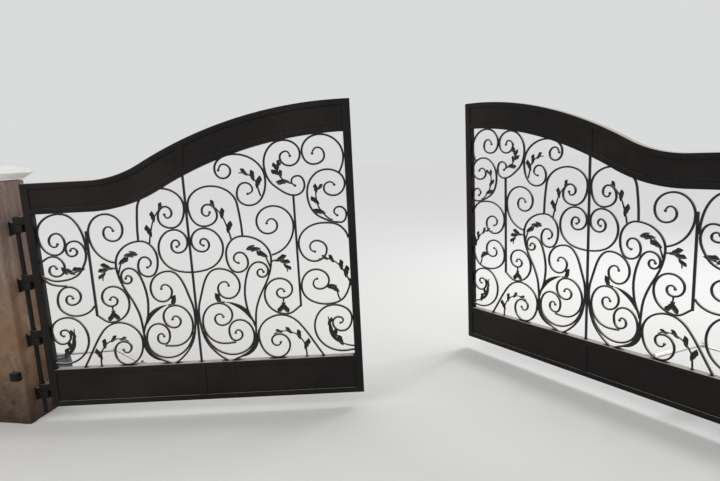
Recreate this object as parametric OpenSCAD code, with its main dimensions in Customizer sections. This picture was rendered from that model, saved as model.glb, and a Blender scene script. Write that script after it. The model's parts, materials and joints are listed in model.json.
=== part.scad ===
// Wrought iron driveway gate: two mirror-image leaves with an ogee top rail, C and S scrolls
// with acanthus sprays, hung on rods from two stucco pillars with stone caps.
// Millimetres, Z up. X runs along the closed gate, Y runs inwards up the drive.
// The origin is the middle of the left pillar's base, on the ground.

/* [Leaf frame] */
// Width of one leaf over its stiles
leaf_w = 2134; // [1800:1:2600]
// Height of the leaf at its hinge end, without the ground gap
hinge_end_h = 1522; // [1400:1:1800]
// Rise of the top rail from the hinge end to the crest
crest_rise = 429; // [300:1:520]
// Level run of the top rail beside the hinge stile
level_run = 427; // [300:1:520]
// Level run of the top rail at its crest
crest_run = 36; // [10:1:120]
// Radius of the hollow bend of the top rail, on its upper edge
valley_r = 726; // [500:1:900]
// Depth of the top rail, square to its edge
top_rail_d = 200; // [160:1:240]
// Height of the bottom rail
bottom_rail_h = 265; // [220:1:320]
// Width of the stile tubes
stile_w = 51; // [40:1:70]
// Width of the tubes that edge the rails
rail_tube_w = 38; // [30:1:50]
// Width of the divider tube in the middle of each rail
divider_w = 48; // [38:1:60]
// How far the dividers and the middle upright stand from the leaf's middle, towards the hinges
middle_shift = 26; // [0:1:40]
// Depth of every frame tube, through the leaf
tube_depth = 51; // [40:1:60]
// Thickness of the sheet that fills the rails
sheet_t = 4; // [2:1:8]
// How far that sheet lies behind the tubes' front face
panel_setback = 6; // [2:1:20]
// Gap between the ground and the leaf
ground_gap = 100; // [60:1:160]
// Gap between the two leaves when they are closed
meeting_gap = 50; // [12:1:80]

/* [Scrollwork] */
// Width of the scroll bars as seen from the front
scroll_w = 13; // [10:1:18]
// Depth of the scroll bars, through the leaf
scroll_t = 13; // [8:1:20]
// Width of a scroll bar beside its eye, as a share of its full width
eye_share = 0.75; // [0.4:0.05:1]
// Diameter of the forged eye that ends a scroll
eye_d = 19; // [12:1:26]
// Side of the square upright bars
upright_w = 14; // [10:1:20]
// Thickness of the acanthus sprays
acanthus_t = 8; // [4:1:12]
// Length of the largest acanthus leaflet
leaflet_l = 88; // [60:1:110]
// Width of the largest acanthus leaflet
leaflet_w = 38; // [24:1:50]
// Width of the crescent leaves beside the great stems
crescent_w = 30; // [18:1:44]
// Width of a spray's stem, as a share of the scroll bars' width
stem_share = 0.9; // [0.5:0.05:1]
// How far a leaflet leans out from its stem, in degrees
leaflet_lean = 22; // [0:1:45]

/* [Hinges] */
// Diameter of the hinge rod
rod_d = 29; // [20:1:34]
// Distance from the rod's axis to the hinge stile
stile_gap = 65; // [50:1:90]
// Distance from the rod's axis to the pillar's reveal
wall_gap = 60; // [48:1:90]
// Number of hinges on a leaf
hinge_count = 4; // [2:1:5]
// Height of the lowest hinge above the leaf's lower edge
first_hinge_z = 114; // [90:1:160]
// Distance between hinges
hinge_pitch = 382; // [250:1:400]
// Height of one hinge lug or knuckle
knuckle_h = 50; // [40:1:70]
// Breadth of the lugs and knuckles across the rod
knuckle_w = 42; // [38:1:60]
// Thickness of the lug's wall plate
wall_plate_t = 10; // [6:1:16]
// Breadth of the lug's wall plate
wall_plate_w = 44; // [30:1:110]
// Height of the lug's wall plate
wall_plate_h = 96; // [70:1:160]
// Radial clearance between the knuckle and the rod
rod_clearance = 0.4; // [0.2:0.1:1]
// Gap between a lug and the knuckle that it carries
thrust_gap = 1; // [0.5:0.5:2]
// Clearance between a lug's corners and the hinge stile as it swings
lug_clearance = 12; // [4:1:20]
// How far the rod stands out past the outer hinges
rod_tail = 112; // [20:4:120]

/* [Pillars] */
// Width of a pillar along the gate
pillar_w = 600; // [400:10:800]
// Depth of a pillar through the gate
pillar_d = 260; // [220:10:400]
// Distance from the pillar's front face back to the hinge rod
rod_setback = 80; // [50:5:120]
// Rounding of the pillar's upright corners
pillar_r = 12; // [4:1:30]
// Clearance between the leaf's top and the cap's slab
cap_clearance = 59; // [12:1:80]
// Height of the cap's round-nosed slab
cap_h = 24; // [18:1:60]
// Overhang of the cap's slab
cap_over = 42; // [25:1:55]
// Height of the hollow moulding under the slab
cap_cove_h = 34; // [24:1:60]
// Overhang of the hollow moulding where it meets the slab
cap_cove_over = 30; // [20:1:40]
// Height of the step above the slab
cap_step_h = 14; // [6:1:30]
// How far the step's face stands in from the slab's edge
cap_step_in = 16; // [6:1:24]
// Height of the sloping top of the cap
cap_top_h = 22; // [4:1:40]
// Breadth of the cap's sloping top
cap_slope_w = 75; // [40:1:110]

/* [Pose] */
// How far the left leaf stands open, in degrees
left_open_angle = 11; // [0:0.1:90]
// How far the right leaf stands open, in degrees
right_open_angle = 45; // [0:0.1:90]

/* [Photocells] */
// Width of a photocell
cell_w = 66; // [50:1:100]
// Height of a photocell
cell_h = 56; // [50:1:120]
// Depth of a photocell
cell_d = 34; // [20:1:60]
// Height of the photocell's middle above the ground
cell_z = 350; // [200:1:600]
// Distance from the photocell to the pillar's corner
cell_edge = 12; // [2:1:100]

/* [Operators] */
// Distance from the rod's axis to the arm's pin on the leaf, along the leaf
arm_reach = 675; // [600:1:800]
// Distance from the leaf's middle plane to the arm's pin
arm_offset = 60; // [50:1:80]
// Distance from the rod's axis to the output shaft, along the gate, away from the leaf
shaft_x = 375; // [330:1:420]
// Distance from the rod's axis back to the output shaft
shaft_y = 240; // [225:1:260]
// Length of the operator's casing
casing_l = 400; // [360:1:420]
// Depth of the operator's casing
casing_d = 190; // [160:1:220]
// Height of the operator's casing
casing_h = 170; // [120:1:200]
// Rounding of the casing's upright corners
casing_r = 22; // [10:1:40]
// Height of the casing's tapered lid
lid_h = 58; // [40:1:80]
// How far the lid's top stands in from its foot
lid_taper = 14; // [6:1:20]
// Gap between the casing and the rod's axis, along the gate
casing_gap = 62; // [50:1:80]
// Thickness of the plate that holds the casing to the pillar
back_plate_t = 8; // [6:1:12]
// Diameter of the arms' eyes
arm_eye_d = 44; // [34:1:56]
// Width of the crank's bar
crank_w = 24; // [18:1:34]
// Width of the link's bar
link_w = 38; // [26:1:44]
// Thickness of the arm bars
arm_t = 12; // [8:1:16]
// Diameter of the arm's pins
arm_pin_d = 16; // [12:1:20]
// Diameter of the output shaft
shaft_d = 28; // [22:1:36]

/* [Hidden] */
$fn = 48;

// Small gaps and ends
seat_gap = 0.2;         // between a scroll and what it is welded to
fixed_fit = 0.15;       // radial gap of a rod or pin in the piece that holds it
pin_fit = 0.3;          // radial gap of a turning pin
washer_gap = 2;         // between the two arm bars
weld = 1.2;             // notches up to twice this wide between bars are closed
rib_h = 6;              // height of the rib round the casing's joint
rib_out = 3;            // how far that rib stands out
arm_drop = 25;          // how far the crank's bar lies below the top of the bottom rail
pad_w = 76;             // breadth of the arm bracket's pad on the bottom rail
pad_t = 8;              // thickness of that pad
pin_head = 8;           // how far a pin stands out past the bar on it
max_bend_step = 15;     // degrees turned in one step of a wide bend
small_bend_step = 22;   // degrees turned in one step of a small bend
small_bend = 45;        // a bend shorter than this, in thousandths of the leaf, is small

// Places of the leaf's hinge
rod_x = pillar_w / 2 + wall_gap;
rod_y = -pillar_d / 2 + rod_setback;
middle_x = rod_x + stile_gap + leaf_w + meeting_gap / 2;
field_w = leaf_w - 2 * stile_w;
middle_at = leaf_w / 2 - middle_shift;
hinge_z = [for (i = [0 : hinge_count - 1]) first_hinge_z + i * hinge_pitch];
sheet_y = -tube_depth / 2 + panel_setback + sheet_t / 2;
lug_reach = sqrt(pow(stile_gap - lug_clearance, 2) - pow(knuckle_w / 2, 2));

// Heights above the ground
slab_z = ground_gap + hinge_end_h + cap_clearance;
pillar_h = slab_z - cap_cove_h;

// The arm: its bars turn above the casing
arm_z = bottom_rail_h - arm_drop;
casing_top = ground_gap + arm_z - washer_gap - arm_t / 2;
arm_angle = atan2(arm_offset, arm_reach);
crank_l = norm([arm_reach, arm_offset]);
link_l = norm([shaft_x, shaft_y]);
link_angle = atan2(shaft_y, -shaft_x);

// Top rail: a level run, a hollow bend, a round bend and a level crest.
// Each of these lists is [hinge end height, rise, level run, bends' run, hollow radius].
ogee = [hinge_end_h, crest_rise, level_run, leaf_w - level_run - crest_run, valley_r];

function ogee_turn(o) = 2 * atan(o[1] / o[3]);
function ogee_crest_r(o) = o[3] / sin(ogee_turn(o)) - o[4];

// Height of the rail's curve at x, for a line that lies d below the upper edge
function ogee_z(o, x, d) =
    let (turn = ogee_turn(o), hollow = o[4] + d, crest = ogee_crest_r(o) - d, change = o[2] + hollow * sin(turn))
    x <= o[2] ? o[0] - d
    : x <= change ? o[0] + o[4] - sqrt(pow(hollow, 2) - pow(x - o[2], 2))
    : x <= o[2] + o[3] ? o[0] + o[1] - ogee_crest_r(o) + sqrt(pow(crest, 2) - pow(o[2] + o[3] - x, 2))
    : o[0] + o[1] - d;

// The scrollwork is drawn on a grid of thousandths of the leaf's width, for the opening below.
// A leaf of other sizes stretches the drawing to fit its own opening.
drawn_ogee = [713, 201, 200, 783, 340];
drawn_rail_d = 94;
drawn_sill = 124;
drawn_stile = 24;
drawn_middle = 500;
upright_at = 320;       // side uprights, from the middle
upright_foot = 290;     // lower end of the side uprights
crest_upright_top = 637;
hinge_upright_top = 560;

function drawn_top(u) = ogee_z(drawn_ogee, u, drawn_rail_d);
function opening_top(x) = ogee_z(ogee, x, top_rail_d);

// A point of the drawing, in leaf coordinates measured from the stile's outer edge. Each half is
// drawn as wide as the other, and is then fitted between its stile and the middle upright.
function even_x(u) = stile_w + (u - drawn_stile) / (1000 - 2 * drawn_stile) * field_w;
function fit_x(u) =
    let (share = (u - drawn_middle) / (drawn_middle - drawn_stile))
    middle_at + share * (share < 0 ? middle_at - stile_w : leaf_w - stile_w - middle_at);
function fit_z(u, z) =
    bottom_rail_h
    + (z - drawn_sill) / (drawn_top(u) - drawn_sill) * (opening_top(even_x(u)) - bottom_rail_h);
function fit(p) = [fit_x(p[0]), fit_z(p[0], p[1])];

// Scrolls. Each is [eyes, stations]: eyes is 0 for none, 1 for one at the last station and
// 2 for one at both ends. A station is [distance from the middle, height, heading of the bar].
paired_scrolls = [
    // arch beside the upright, under the top rail
    [1, [[160, 522, 90], [152, 620, 98], [75, 678, 180], [6, 620, 270], [50, 557, 360],
        [90, 590, 450], [64, 623, 540], [46, 603, 630], [60, 588, 720], [69, 599, 800]]],
    // second round beside the upright
    [1, [[4, 416, 4], [60, 428, 28], [99, 490, 90], [45, 551, 180], [6, 512, 270], [37, 479, 360],
        [58, 499, 450], [43, 519, 540], [32, 506, 630], [41, 498, 700]]],
    // long stem that rises beside the upright
    [1, [[88, 122, 155], [40, 162, 130], [10, 235, 97], [7, 262, 90], [7, 290, 88], [22, 350, 74],
        [78, 423, 0], [139, 368, -90], [103, 327, -180], [72, 358, -270], [93, 381, -360], [105, 368, -450]]],
    // upper round of the heart at the foot
    [1, [[112, 183, 185], [80, 181, 180], [16, 250, 90], [69, 313, 0], [108, 275, -90],
        [75, 241, -180], [54, 262, -270], [70, 278, -360], [80, 268, -440]]],
    // lower round of the heart
    [1, [[15, 225, -78], [103, 143, 0], [170, 203, 90], [128, 256, 180], [94, 220, 270],
        [113, 189, 360], [134, 207, 450], [122, 223, 540], [113, 214, 620]]],
    // great stem from the foot to the middle
    [1, [[92, 122, 18], [140, 143, 30], [172, 185, 72], [177, 225, 87], [181, 275, 83], [196, 325, 68],
        [217, 366, 62], [240, 445, 88], [156, 521, 180], [106, 463, 270], [139, 409, 360],
        [170, 438, 450], [147, 471, 540], [128, 452, 630], [141, 438, 710]]],
    // small stem that springs from the great one
    [1, [[176, 232, 100], [157, 285, 100], [152, 340, 87], [165, 405, 70], [200, 438, 0],
        [228, 411, -90], [210, 390, -180], [195, 404, -270], [206, 415, -360], [214, 406, -440]]],
    // round under the side upright's head
    [1, [[244, 458, 14], [286, 481, 45], [314, 548, 90], [256, 609, 180], [205, 562, 270],
        [237, 525, 360], [266, 549, 450], [249, 570, 540], [235, 557, 620]]],
    // round at the side upright's foot
    [1, [[318, 292, 215], [277, 268, 180], [212, 330, 90], [259, 383, 0], [297, 348, -90],
        [268, 320, -180], [249, 337, -270], [262, 350, -360], [272, 341, -440]]],
    // round on the bottom rail with a straight foot
    [1, [[384, 121, 124], [350, 177, 121], [326, 216, 125], [295, 252, 145], [256, 266, 180],
        [184, 200, 270], [240, 127, 360], [278, 168, 450], [247, 203, 540], [223, 184, 630],
        [239, 166, 720], [250, 176, 800]]],
    // round in the lower outer corner
    [1, [[478, 141, 182], [445, 138, 180], [358, 220, 90], [418, 290, 0], [473, 246, -90],
        [442, 204, -180], [414, 231, -270], [431, 250, -360], [446, 239, -450], [437, 230, -540]]]
];

crest_scrolls = [
    // long C under the rail
    [2, [[106, 724, 430], [120, 741, 360], [141, 721, 270], [119, 699, 180], [95, 727, 90],
        [152, 769, 0], [241, 690, -90], [190, 614, -180], [154, 647, -270], [180, 683, -360],
        [201, 662, -450], [186, 649, -530]]],
    // C over the side upright
    [2, [[327, 667, 150], [317, 680, 90], [336, 696, 0], [355, 668, -90], [324, 638, -180],
        [268, 668, -219], [240, 735, -270], [300, 803, -360], [347, 762, -450], [316, 727, -540],
        [288, 753, -630], [306, 770, -720], [318, 756, -800]]],
    // round in the upper corner
    [1, [[457, 698, 60], [473, 748, 90], [406, 815, 180], [353, 767, 270], [386, 728, 360],
        [418, 753, 450], [399, 777, 540], [383, 760, 620]]],
    // C against the meeting stile
    [2, [[446, 571, 150], [437, 582, 90], [452, 597, 0], [473, 574, -90], [455, 549, -180],
        [393, 570, -212], [361, 640, -270], [421, 711, -360], [473, 668, -450], [439, 632, -540],
        [411, 654, -630], [429, 673, -720], [442, 664, -790]]],
    // upper of the two facing rounds
    [1, [[475, 500, 97], [455, 536, 138], [400, 550, 180], [326, 487, 270], [372, 432, 360],
        [409, 468, 450], [379, 496, 540], [359, 477, 630], [373, 462, 720]]],
    // lower of the two facing rounds
    [1, [[475, 372, -95], [456, 316, -125], [400, 294, -180], [326, 352, -270], [371, 406, -360],
        [410, 370, -450], [382, 343, -540], [362, 360, -630], [374, 376, -720]]]
];

hinge_scrolls = [
    // round under the level of the top rail
    [1, [[326, 500, 90], [399, 616, 0], [473, 555, -90], [424, 490, -180], [391, 526, -270],
        [414, 557, -360], [440, 532, -450], [424, 515, -540], [414, 524, -620]]],
    // long round from the stile to the side upright
    [1, [[479, 425, 197], [434, 408, 180], [349, 440, 122], [329, 490, 90], [361, 531, 0],
        [391, 507, -90], [374, 484, -180], [356, 497, -270], [368, 509, -360], [377, 502, -430]]],
    // small round against the stile
    [1, [[478, 466, 145], [436, 486, 180], [402, 452, 270], [429, 423, 360], [452, 441, 450],
        [437, 457, 540], [428, 448, 620]]],
    // round over the lower corner
    [1, [[324, 324, -58], [384, 294, 0], [440, 340, 90], [399, 388, 180], [364, 358, 270],
        [394, 330, 360], [412, 346, 450], [399, 360, 540], [390, 351, 620]]],
    // link from the stile to that round
    [0, [[479, 420, 215], [450, 398, 198], [404, 391, 184]]]
];

// Acanthus sprays. Each is [side of the stem that its leaflets are on, leaflets, stations].
paired_sprays = [
    [-1, 4, [[328, 122, 90], [326, 158, 96], [308, 192, 130], [268, 212, 172], [230, 203, 215]]],
    [-1, 3, [[479, 152, 180], [446, 160, 163], [418, 187, 122], [404, 224, 95], [401, 252, 95]]],
    [-1, 1, [[88, 315, 178], [76, 317, 165], [66, 326, 130]]],
    [1, 1, [[268, 317, -92], [267, 302, -90], [266, 282, -90]]],
    [-1, 1, [[268, 317, -92], [267, 302, -90], [266, 282, -90]]],
    [1, 3, [[241, 438, 20], [262, 441, -8], [280, 428, -60], [287, 402, -85]]],
    [-1, 3, [[126, 508, 98], [114, 560, 108], [96, 600, 128], [70, 625, 160]]],
    [1, 3, [[236, 418, 108], [222, 458, 112], [200, 480, 148], [172, 486, 200]]]
];

crest_sprays = [
    [1, 4, [[319, 674, 178], [300, 681, 152], [283, 701, 120], [276, 722, 82], [290, 738, 25]]],
    [1, 4, [[432, 557, 168], [402, 583, 130], [388, 615, 98], [387, 648, 80], [406, 658, 5]]],
    [-1, 4, [[479, 345, 105], [462, 386, 115], [440, 420, 136], [412, 438, 160], [382, 438, 190]]],
    [1, 2, [[441, 306, 125], [432, 338, 105], [414, 356, 160]]],
    [-1, 3, [[224, 640, 108], [216, 675, 98], [198, 703, 138], [164, 713, 180]]]
];

hinge_sprays = [
    [1, 3, [[340, 454, -75], [360, 436, -22], [392, 432, 10], [412, 442, 55]]]
];

// Crescent leaves, as stations only
paired_crescents = [
    // outside the great stem's foot
    [[106, 131, 10], [150, 146, 36], [176, 180, 70], [183, 222, 88]],
    // inside the round in the lower corner
    [[444, 161, 165], [415, 185, 122], [406, 215, 98], [404, 243, 90]],
    // over the upper round of the heart
    [[174, 236, 100], [158, 272, 120], [130, 300, 150], [88, 315, 178]]
];

// A drawing's station on the hinge side is the mirror image of the one on the free side
function crest_side(stations) = [for (s = stations) [drawn_middle + s[0], s[1], s[2]]];
function hinge_side(stations) = [for (s = stations) [drawn_middle - s[0], s[1], 180 - s[2]]];

function along(a) = [cos(a), sin(a)];

// A point of the bend between two stations: the curve that an even bend would take
function bend_point(a, b, t) =
    let (
        p = [a[0], a[1]],
        q = [b[0], b[1]],
        reach = norm(q - p) / (3 * pow(cos((b[2] - a[2]) / 4), 2)),
        p1 = p + reach * along(a[2]),
        q1 = q - reach * along(b[2])
    )
    pow(1 - t, 3) * p + 3 * pow(1 - t, 2) * t * p1 + 3 * (1 - t) * pow(t, 2) * q1 + pow(t, 3) * q;

// Small bends are drawn with fewer steps than wide ones
function bend_steps(a, b) =
    let (wide = norm([b[0] - a[0], b[1] - a[1]]) > small_bend)
    max(2, ceil(abs(b[2] - a[2]) / (wide ? max_bend_step : small_bend_step)));

// The bar's middle line on the leaf, as [x, z, distance along in stations]
function bar_line(stations) = [
    for (i = [0 : len(stations) - 2])
        let (a = stations[i], b = stations[i + 1], n = bend_steps(a, b), last = i == len(stations) - 2)
        for (k = [0 : n - (last ? 0 : 1)])
            let (p = fit(bend_point(a, b, k / n))) [p[0], p[1], i + k / n]
];

// Share of the full width at s stations along: a bar thins over the last two stations of an eye
function thinning(s, total, eyes) =
    let (
        from_end = eyes >= 1 ? min(1, (total - s) / 2) : 1,
        from_start = eyes == 2 ? min(1, s / 2) : 1
    )
    eye_share + (1 - eye_share) * min(from_end, from_start);

function side_step(line, i) =
    let (a = line[max(0, i - 1)], b = line[min(len(line) - 1, i + 1)], d = [b[0] - a[0], b[1] - a[1]])
    [-d[1], d[0]] / norm(d);

// Outline of a bar of width w along its middle line
function bar_outline(line, w, eyes) =
    let (
        total = line[len(line) - 1][2],
        half = [for (p = line) w / 2 * thinning(p[2], total, eyes)]
    )
    concat(
        [for (i = [0 : len(line) - 1]) [line[i][0], line[i][1]] + half[i] * side_step(line, i)],
        [for (i = [len(line) - 1 : -1 : 0]) [line[i][0], line[i][1]] - half[i] * side_step(line, i)]
    );

module bar(stations, w, eyes) {
    line = bar_line(stations);
    last = len(line) - 1;
    polygon(bar_outline(line, w, eyes));
    if (eyes >= 1)
        translate([line[last][0], line[last][1]])
            circle(d = eye_d, $fn = 10);
    if (eyes == 2)
        translate([line[0][0], line[0][1]])
            circle(d = eye_d, $fn = 10);
}

// Half width of a leaflet at t of its length, as a share of its width: it widens towards its
// blunt tip and has round lobes
lobes = 2;
function lobe_edge(t) = pow(sin(180 * pow(t, 1.35)), 0.8) * (0.76 + 0.24 * abs(sin(180 * lobes * t)));
function leaflet_curl(t) = 0.16 * t * t;

// One acanthus leaflet, growing along +X: lobed on its outer edge, plain on its inner edge,
// with a tip that curls outwards
module leaflet(l, w) {
    n = 4 * lobes;
    upper = [for (i = [1 : n - 1]) let (t = i / n) [l * t, l * leaflet_curl(t) + w * 0.7 * lobe_edge(t)]];
    lower = [for (i = [4 : -1 : 1]) let (t = i / 5) [l * t, l * leaflet_curl(t) - w * 0.3 * sin(180 * t)]];
    polygon(concat([[0, 0]], upper, [[l, l * leaflet_curl(1)]], lower));
}

// A stem with leaflets on one side, the largest at its foot
module spray(side, count, stations) {
    line = bar_line(stations);
    total = len(line) - 1;
    polygon(bar_outline(line, scroll_w * stem_share, 1));
    for (i = [0 : count - 1]) {
        at = round(total * (i + 1) / (count + 0.6));
        size = 1 - 0.12 * i;
        d = side_step(line, at);
        heading = atan2(-d[0], d[1]);
        translate([line[at][0], line[at][1]])
            rotate(heading + side * leaflet_lean)
                mirror([0, side > 0 ? 0 : 1])
                    translate([-leaflet_l * 0.3, -leaflet_w * 0.08])
                        leaflet(leaflet_l * size, leaflet_w * size);
    }
}

// A blade that follows a bend and is widest in its middle
module crescent(stations) {
    line = bar_line(stations);
    last = len(line) - 1;
    half = [for (i = [0 : last]) crescent_w / 2 * sin(180 * (i + 0.3) / (last + 0.6))];
    polygon(concat(
        [for (i = [0 : last]) [line[i][0], line[i][1]] + half[i] * side_step(line, i)],
        [for (i = [last : -1 : 0]) [line[i][0], line[i][1]] - half[i] * side_step(line, i)]
    ));
}

// The opening of the leaf that one half of the scrollwork lies in
module half_opening(crest) {
    from = crest ? middle_at + upright_w / 2 + seat_gap : stile_w + seat_gap;
    to = crest ? leaf_w - stile_w - seat_gap : middle_at - upright_w / 2 - seat_gap;
    steps = 24;
    arch = [for (i = [steps : -1 : 0])
        let (x = from + (to - from) * i / steps) [x, opening_top(x) - 3 * seat_gap]];
    polygon(concat([[from, bottom_rail_h + seat_gap], [to, bottom_rail_h + seat_gap]], arch));
}

function upright_x(crest) = fit_x(drawn_middle + (crest ? 1 : -1) * upright_at);
function upright_top_z(crest) =
    fit_z(drawn_middle + (crest ? 1 : -1) * upright_at, crest ? crest_upright_top : hinge_upright_top);
function upright_foot_z(crest) = fit_z(drawn_middle + (crest ? 1 : -1) * upright_at, upright_foot);

module side_upright_shape(crest) {
    translate([upright_x(crest) - upright_w / 2, upright_foot_z(crest)])
        square([upright_w, upright_top_z(crest) - upright_foot_z(crest)]);
}

module half_scroll_bars(crest) {
    for (s = concat(paired_scrolls, crest ? crest_scrolls : hinge_scrolls))
        bar(crest ? crest_side(s[1]) : hinge_side(s[1]), scroll_w, s[0]);
}

// The scrolls of one half, with the narrow notches between touching bars closed by weld
module half_scrolls_shape(crest) {
    intersection() {
        difference() {
            offset(delta = -weld)
                offset(delta = weld)
                    half_scroll_bars(crest);
            offset(delta = seat_gap)
                side_upright_shape(crest);
        }
        half_opening(crest);
    }
}

module half_sprays_shape(crest) {
    intersection() {
        difference() {
            union() {
                for (s = concat(paired_sprays, crest ? crest_sprays : hinge_sprays))
                    spray(crest ? s[0] : -s[0], s[1], crest ? crest_side(s[2]) : hinge_side(s[2]));
                for (c = paired_crescents)
                    crescent(crest ? crest_side(c) : hinge_side(c));
            }
            offset(delta = seat_gap)
                half_scroll_bars(crest);
            offset(delta = seat_gap)
                side_upright_shape(crest);
        }
        half_opening(crest);
    }
}

// A shape drawn on the leaf's face stands up as a slab about the leaf's middle plane
module standing(t) {
    translate([stile_gap, t / 2, 0])
        rotate([90, 0, 0])
            linear_extrude(t)
                children();
}

module block(from, to) {
    translate(from)
        cube(to - from);
}

// Part of the top rail between two lines that lie d0 and d1 below its upper edge
module rail_band(d0, d1, t) {
    turn = ogee_turn(ogee);
    crest_r = ogee_crest_r(ogee);
    top = hinge_end_h + crest_rise;
    inner = stile_gap + stile_w;
    block([inner, -t / 2, hinge_end_h - d1], [stile_gap + level_run, t / 2, hinge_end_h - d0]);
    translate([stile_gap + level_run, 0, hinge_end_h + valley_r])
        rotate([90, 0, 0])
            rotate(-90)
                rotate_extrude(angle = turn, $fn = 180)
                    translate([valley_r + d0, -t / 2])
                        square([d1 - d0, t]);
    translate([stile_gap + leaf_w - crest_run, 0, top - crest_r])
        rotate([90, 0, 0])
            rotate(90)
                rotate_extrude(angle = turn, $fn = 180)
                    translate([crest_r - d1, -t / 2])
                        square([d1 - d0, t]);
    if (crest_run > stile_w)
        block([stile_gap + leaf_w - crest_run, -t / 2, top - d1],
            [stile_gap + leaf_w - stile_w, t / 2, top - d0]);
}

// The rail's band, cut off flat at the meeting stile
module trimmed_band(d0, d1, t) {
    intersection() {
        rail_band(d0, d1, t);
        block([0, -t, 0], [stile_gap + leaf_w - stile_w, t, hinge_end_h + crest_rise + 10]);
    }
}

module rail_divider(z0, z1) {
    x = stile_gap + middle_at;
    block([x - divider_w / 2, -tube_depth / 2, z0], [x + divider_w / 2, tube_depth / 2, z1]);
}

module hinge_stile() {
    color("#2e2925")
        block([stile_gap, -tube_depth / 2, 0], [stile_gap + stile_w, tube_depth / 2, hinge_end_h]);
}

module meeting_stile() {
    color("#2e2925")
        block([stile_gap + leaf_w - stile_w, -tube_depth / 2, 0],
            [stile_gap + leaf_w, tube_depth / 2, hinge_end_h + crest_rise]);
}

// The two bent tubes of the top rail and the divider between them
module top_rail() {
    color("#2e2925") {
        trimmed_band(0, rail_tube_w, tube_depth);
        trimmed_band(top_rail_d - rail_tube_w, top_rail_d, tube_depth);
        intersection() {
            rail_divider(0, 2 * (hinge_end_h + crest_rise));
            trimmed_band(rail_tube_w / 2, top_rail_d - rail_tube_w / 2, tube_depth);
        }
    }
}

// The sheet that fills the top rail, in two pieces on either side of the divider
module top_panel() {
    color("#3a322c")
        difference() {
            translate([0, sheet_y, 0])
                trimmed_band(rail_tube_w, top_rail_d - rail_tube_w, sheet_t);
            rail_divider(0, 2 * (hinge_end_h + crest_rise));
        }
}

module bottom_rail() {
    inner = stile_gap + stile_w;
    outer = stile_gap + leaf_w - stile_w;
    half = tube_depth / 2;
    color("#2e2925") {
        block([inner, -half, 0], [outer, half, rail_tube_w]);
        block([inner, -half, bottom_rail_h - rail_tube_w], [outer, half, bottom_rail_h]);
        rail_divider(rail_tube_w, bottom_rail_h - rail_tube_w);
    }
}

module bottom_panel() {
    middle = stile_gap + middle_at;
    z0 = rail_tube_w;
    z1 = bottom_rail_h - rail_tube_w;
    color("#3a322c")
        translate([0, sheet_y, 0]) {
            block([stile_gap + stile_w, -sheet_t / 2, z0], [middle - divider_w / 2, sheet_t / 2, z1]);
            block([middle + divider_w / 2, -sheet_t / 2, z0],
                [stile_gap + leaf_w - stile_w, sheet_t / 2, z1]);
        }
}

// Upright that runs from rail to rail in the middle, cut to the slope of the top rail
module middle_upright() {
    x0 = middle_at - upright_w / 2;
    x1 = middle_at + upright_w / 2;
    color("#2b2724")
        standing(upright_w)
            polygon([[x0, bottom_rail_h], [x1, bottom_rail_h],
                [x1, opening_top(x1) - seat_gap], [x0, opening_top(x0) - seat_gap]]);
}

module side_uprights() {
    color("#2b2724")
        for (crest = [false, true])
            standing(upright_w)
                side_upright_shape(crest);
}

module scrolls(crest) {
    color("#2b2724")
        standing(scroll_t)
            half_scrolls_shape(crest);
}

module acanthus() {
    color("#26221f")
        for (crest = [false, true])
            standing(acanthus_t)
                half_sprays_shape(crest);
}

// Leaf knuckles: blocks that reach from the stile round the rod
module knuckles() {
    color("#2c2622")
        for (z = hinge_z)
            difference() {
                union() {
                    translate([0, 0, z + thrust_gap / 2])
                        cylinder(d = knuckle_w, h = knuckle_h);
                    block([0, -knuckle_w / 2, z + thrust_gap / 2],
                        [stile_gap, knuckle_w / 2, z + thrust_gap / 2 + knuckle_h]);
                }
                translate([0, 0, z - 1])
                    cylinder(d = rod_d + 2 * rod_clearance, h = knuckle_h + 4);
            }
}

// Wall lugs: a plate on the pillar's reveal and a block round the rod that reaches almost to
// the hinge stile
module hinge_lugs() {
    color("#2c2622")
        for (z = hinge_z)
            translate([0, 0, z - thrust_gap / 2])
                difference() {
                    union() {
                        block([-wall_gap + wall_plate_t / 2, -knuckle_w / 2, -knuckle_h],
                            [lug_reach, knuckle_w / 2, 0]);
                        block([-wall_gap, -wall_plate_w / 2, -knuckle_h / 2 - wall_plate_h / 2],
                            [-wall_gap + wall_plate_t, wall_plate_w / 2, -knuckle_h / 2 + wall_plate_h / 2]);
                    }
                    translate([0, 0, -knuckle_h - 1])
                        cylinder(d = rod_d + 2 * fixed_fit, h = knuckle_h + 2);
                }
}

module hinge_rod() {
    low = hinge_z[0] - thrust_gap / 2 - knuckle_h - rod_tail;
    high = hinge_z[hinge_count - 1] + thrust_gap / 2 + knuckle_h + 6;
    color("#3b2f28")
        translate([0, 0, low])
            cylinder(d = rod_d, h = high - low);
}

// Bracket on the bottom rail with the pin of the operator's arm
module arm_bracket() {
    back = tube_depth / 2;
    ear_r = arm_eye_d / 2;
    color("#8d9196") {
        block([arm_reach - pad_w / 2, back, bottom_rail_h - rail_tube_w],
            [arm_reach + pad_w / 2, back + pad_t, bottom_rail_h]);
        block([arm_reach - ear_r, back, arm_z - arm_t / 2], [arm_reach + ear_r, arm_offset, arm_z + arm_t / 2]);
        translate([arm_reach, arm_offset, arm_z - arm_t / 2])
            cylinder(r = ear_r, h = arm_t);
        translate([arm_reach, arm_offset, arm_z])
            cylinder(d = arm_pin_d, h = 1.5 * arm_t + washer_gap + pin_head);
    }
}

module arm_bar(l, w, bore_a, bore_b, end_a, end_b) {
    difference() {
        union() {
            translate([0, -w / 2, 0])
                cube([l, w, arm_t]);
            cylinder(d = end_a, h = arm_t);
            translate([l, 0, 0])
                cylinder(d = end_b, h = arm_t);
        }
        translate([0, 0, -1])
            cylinder(d = bore_a, h = arm_t + 2);
        translate([l, 0, -1])
            cylinder(d = bore_b, h = arm_t + 2);
    }
}

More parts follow.
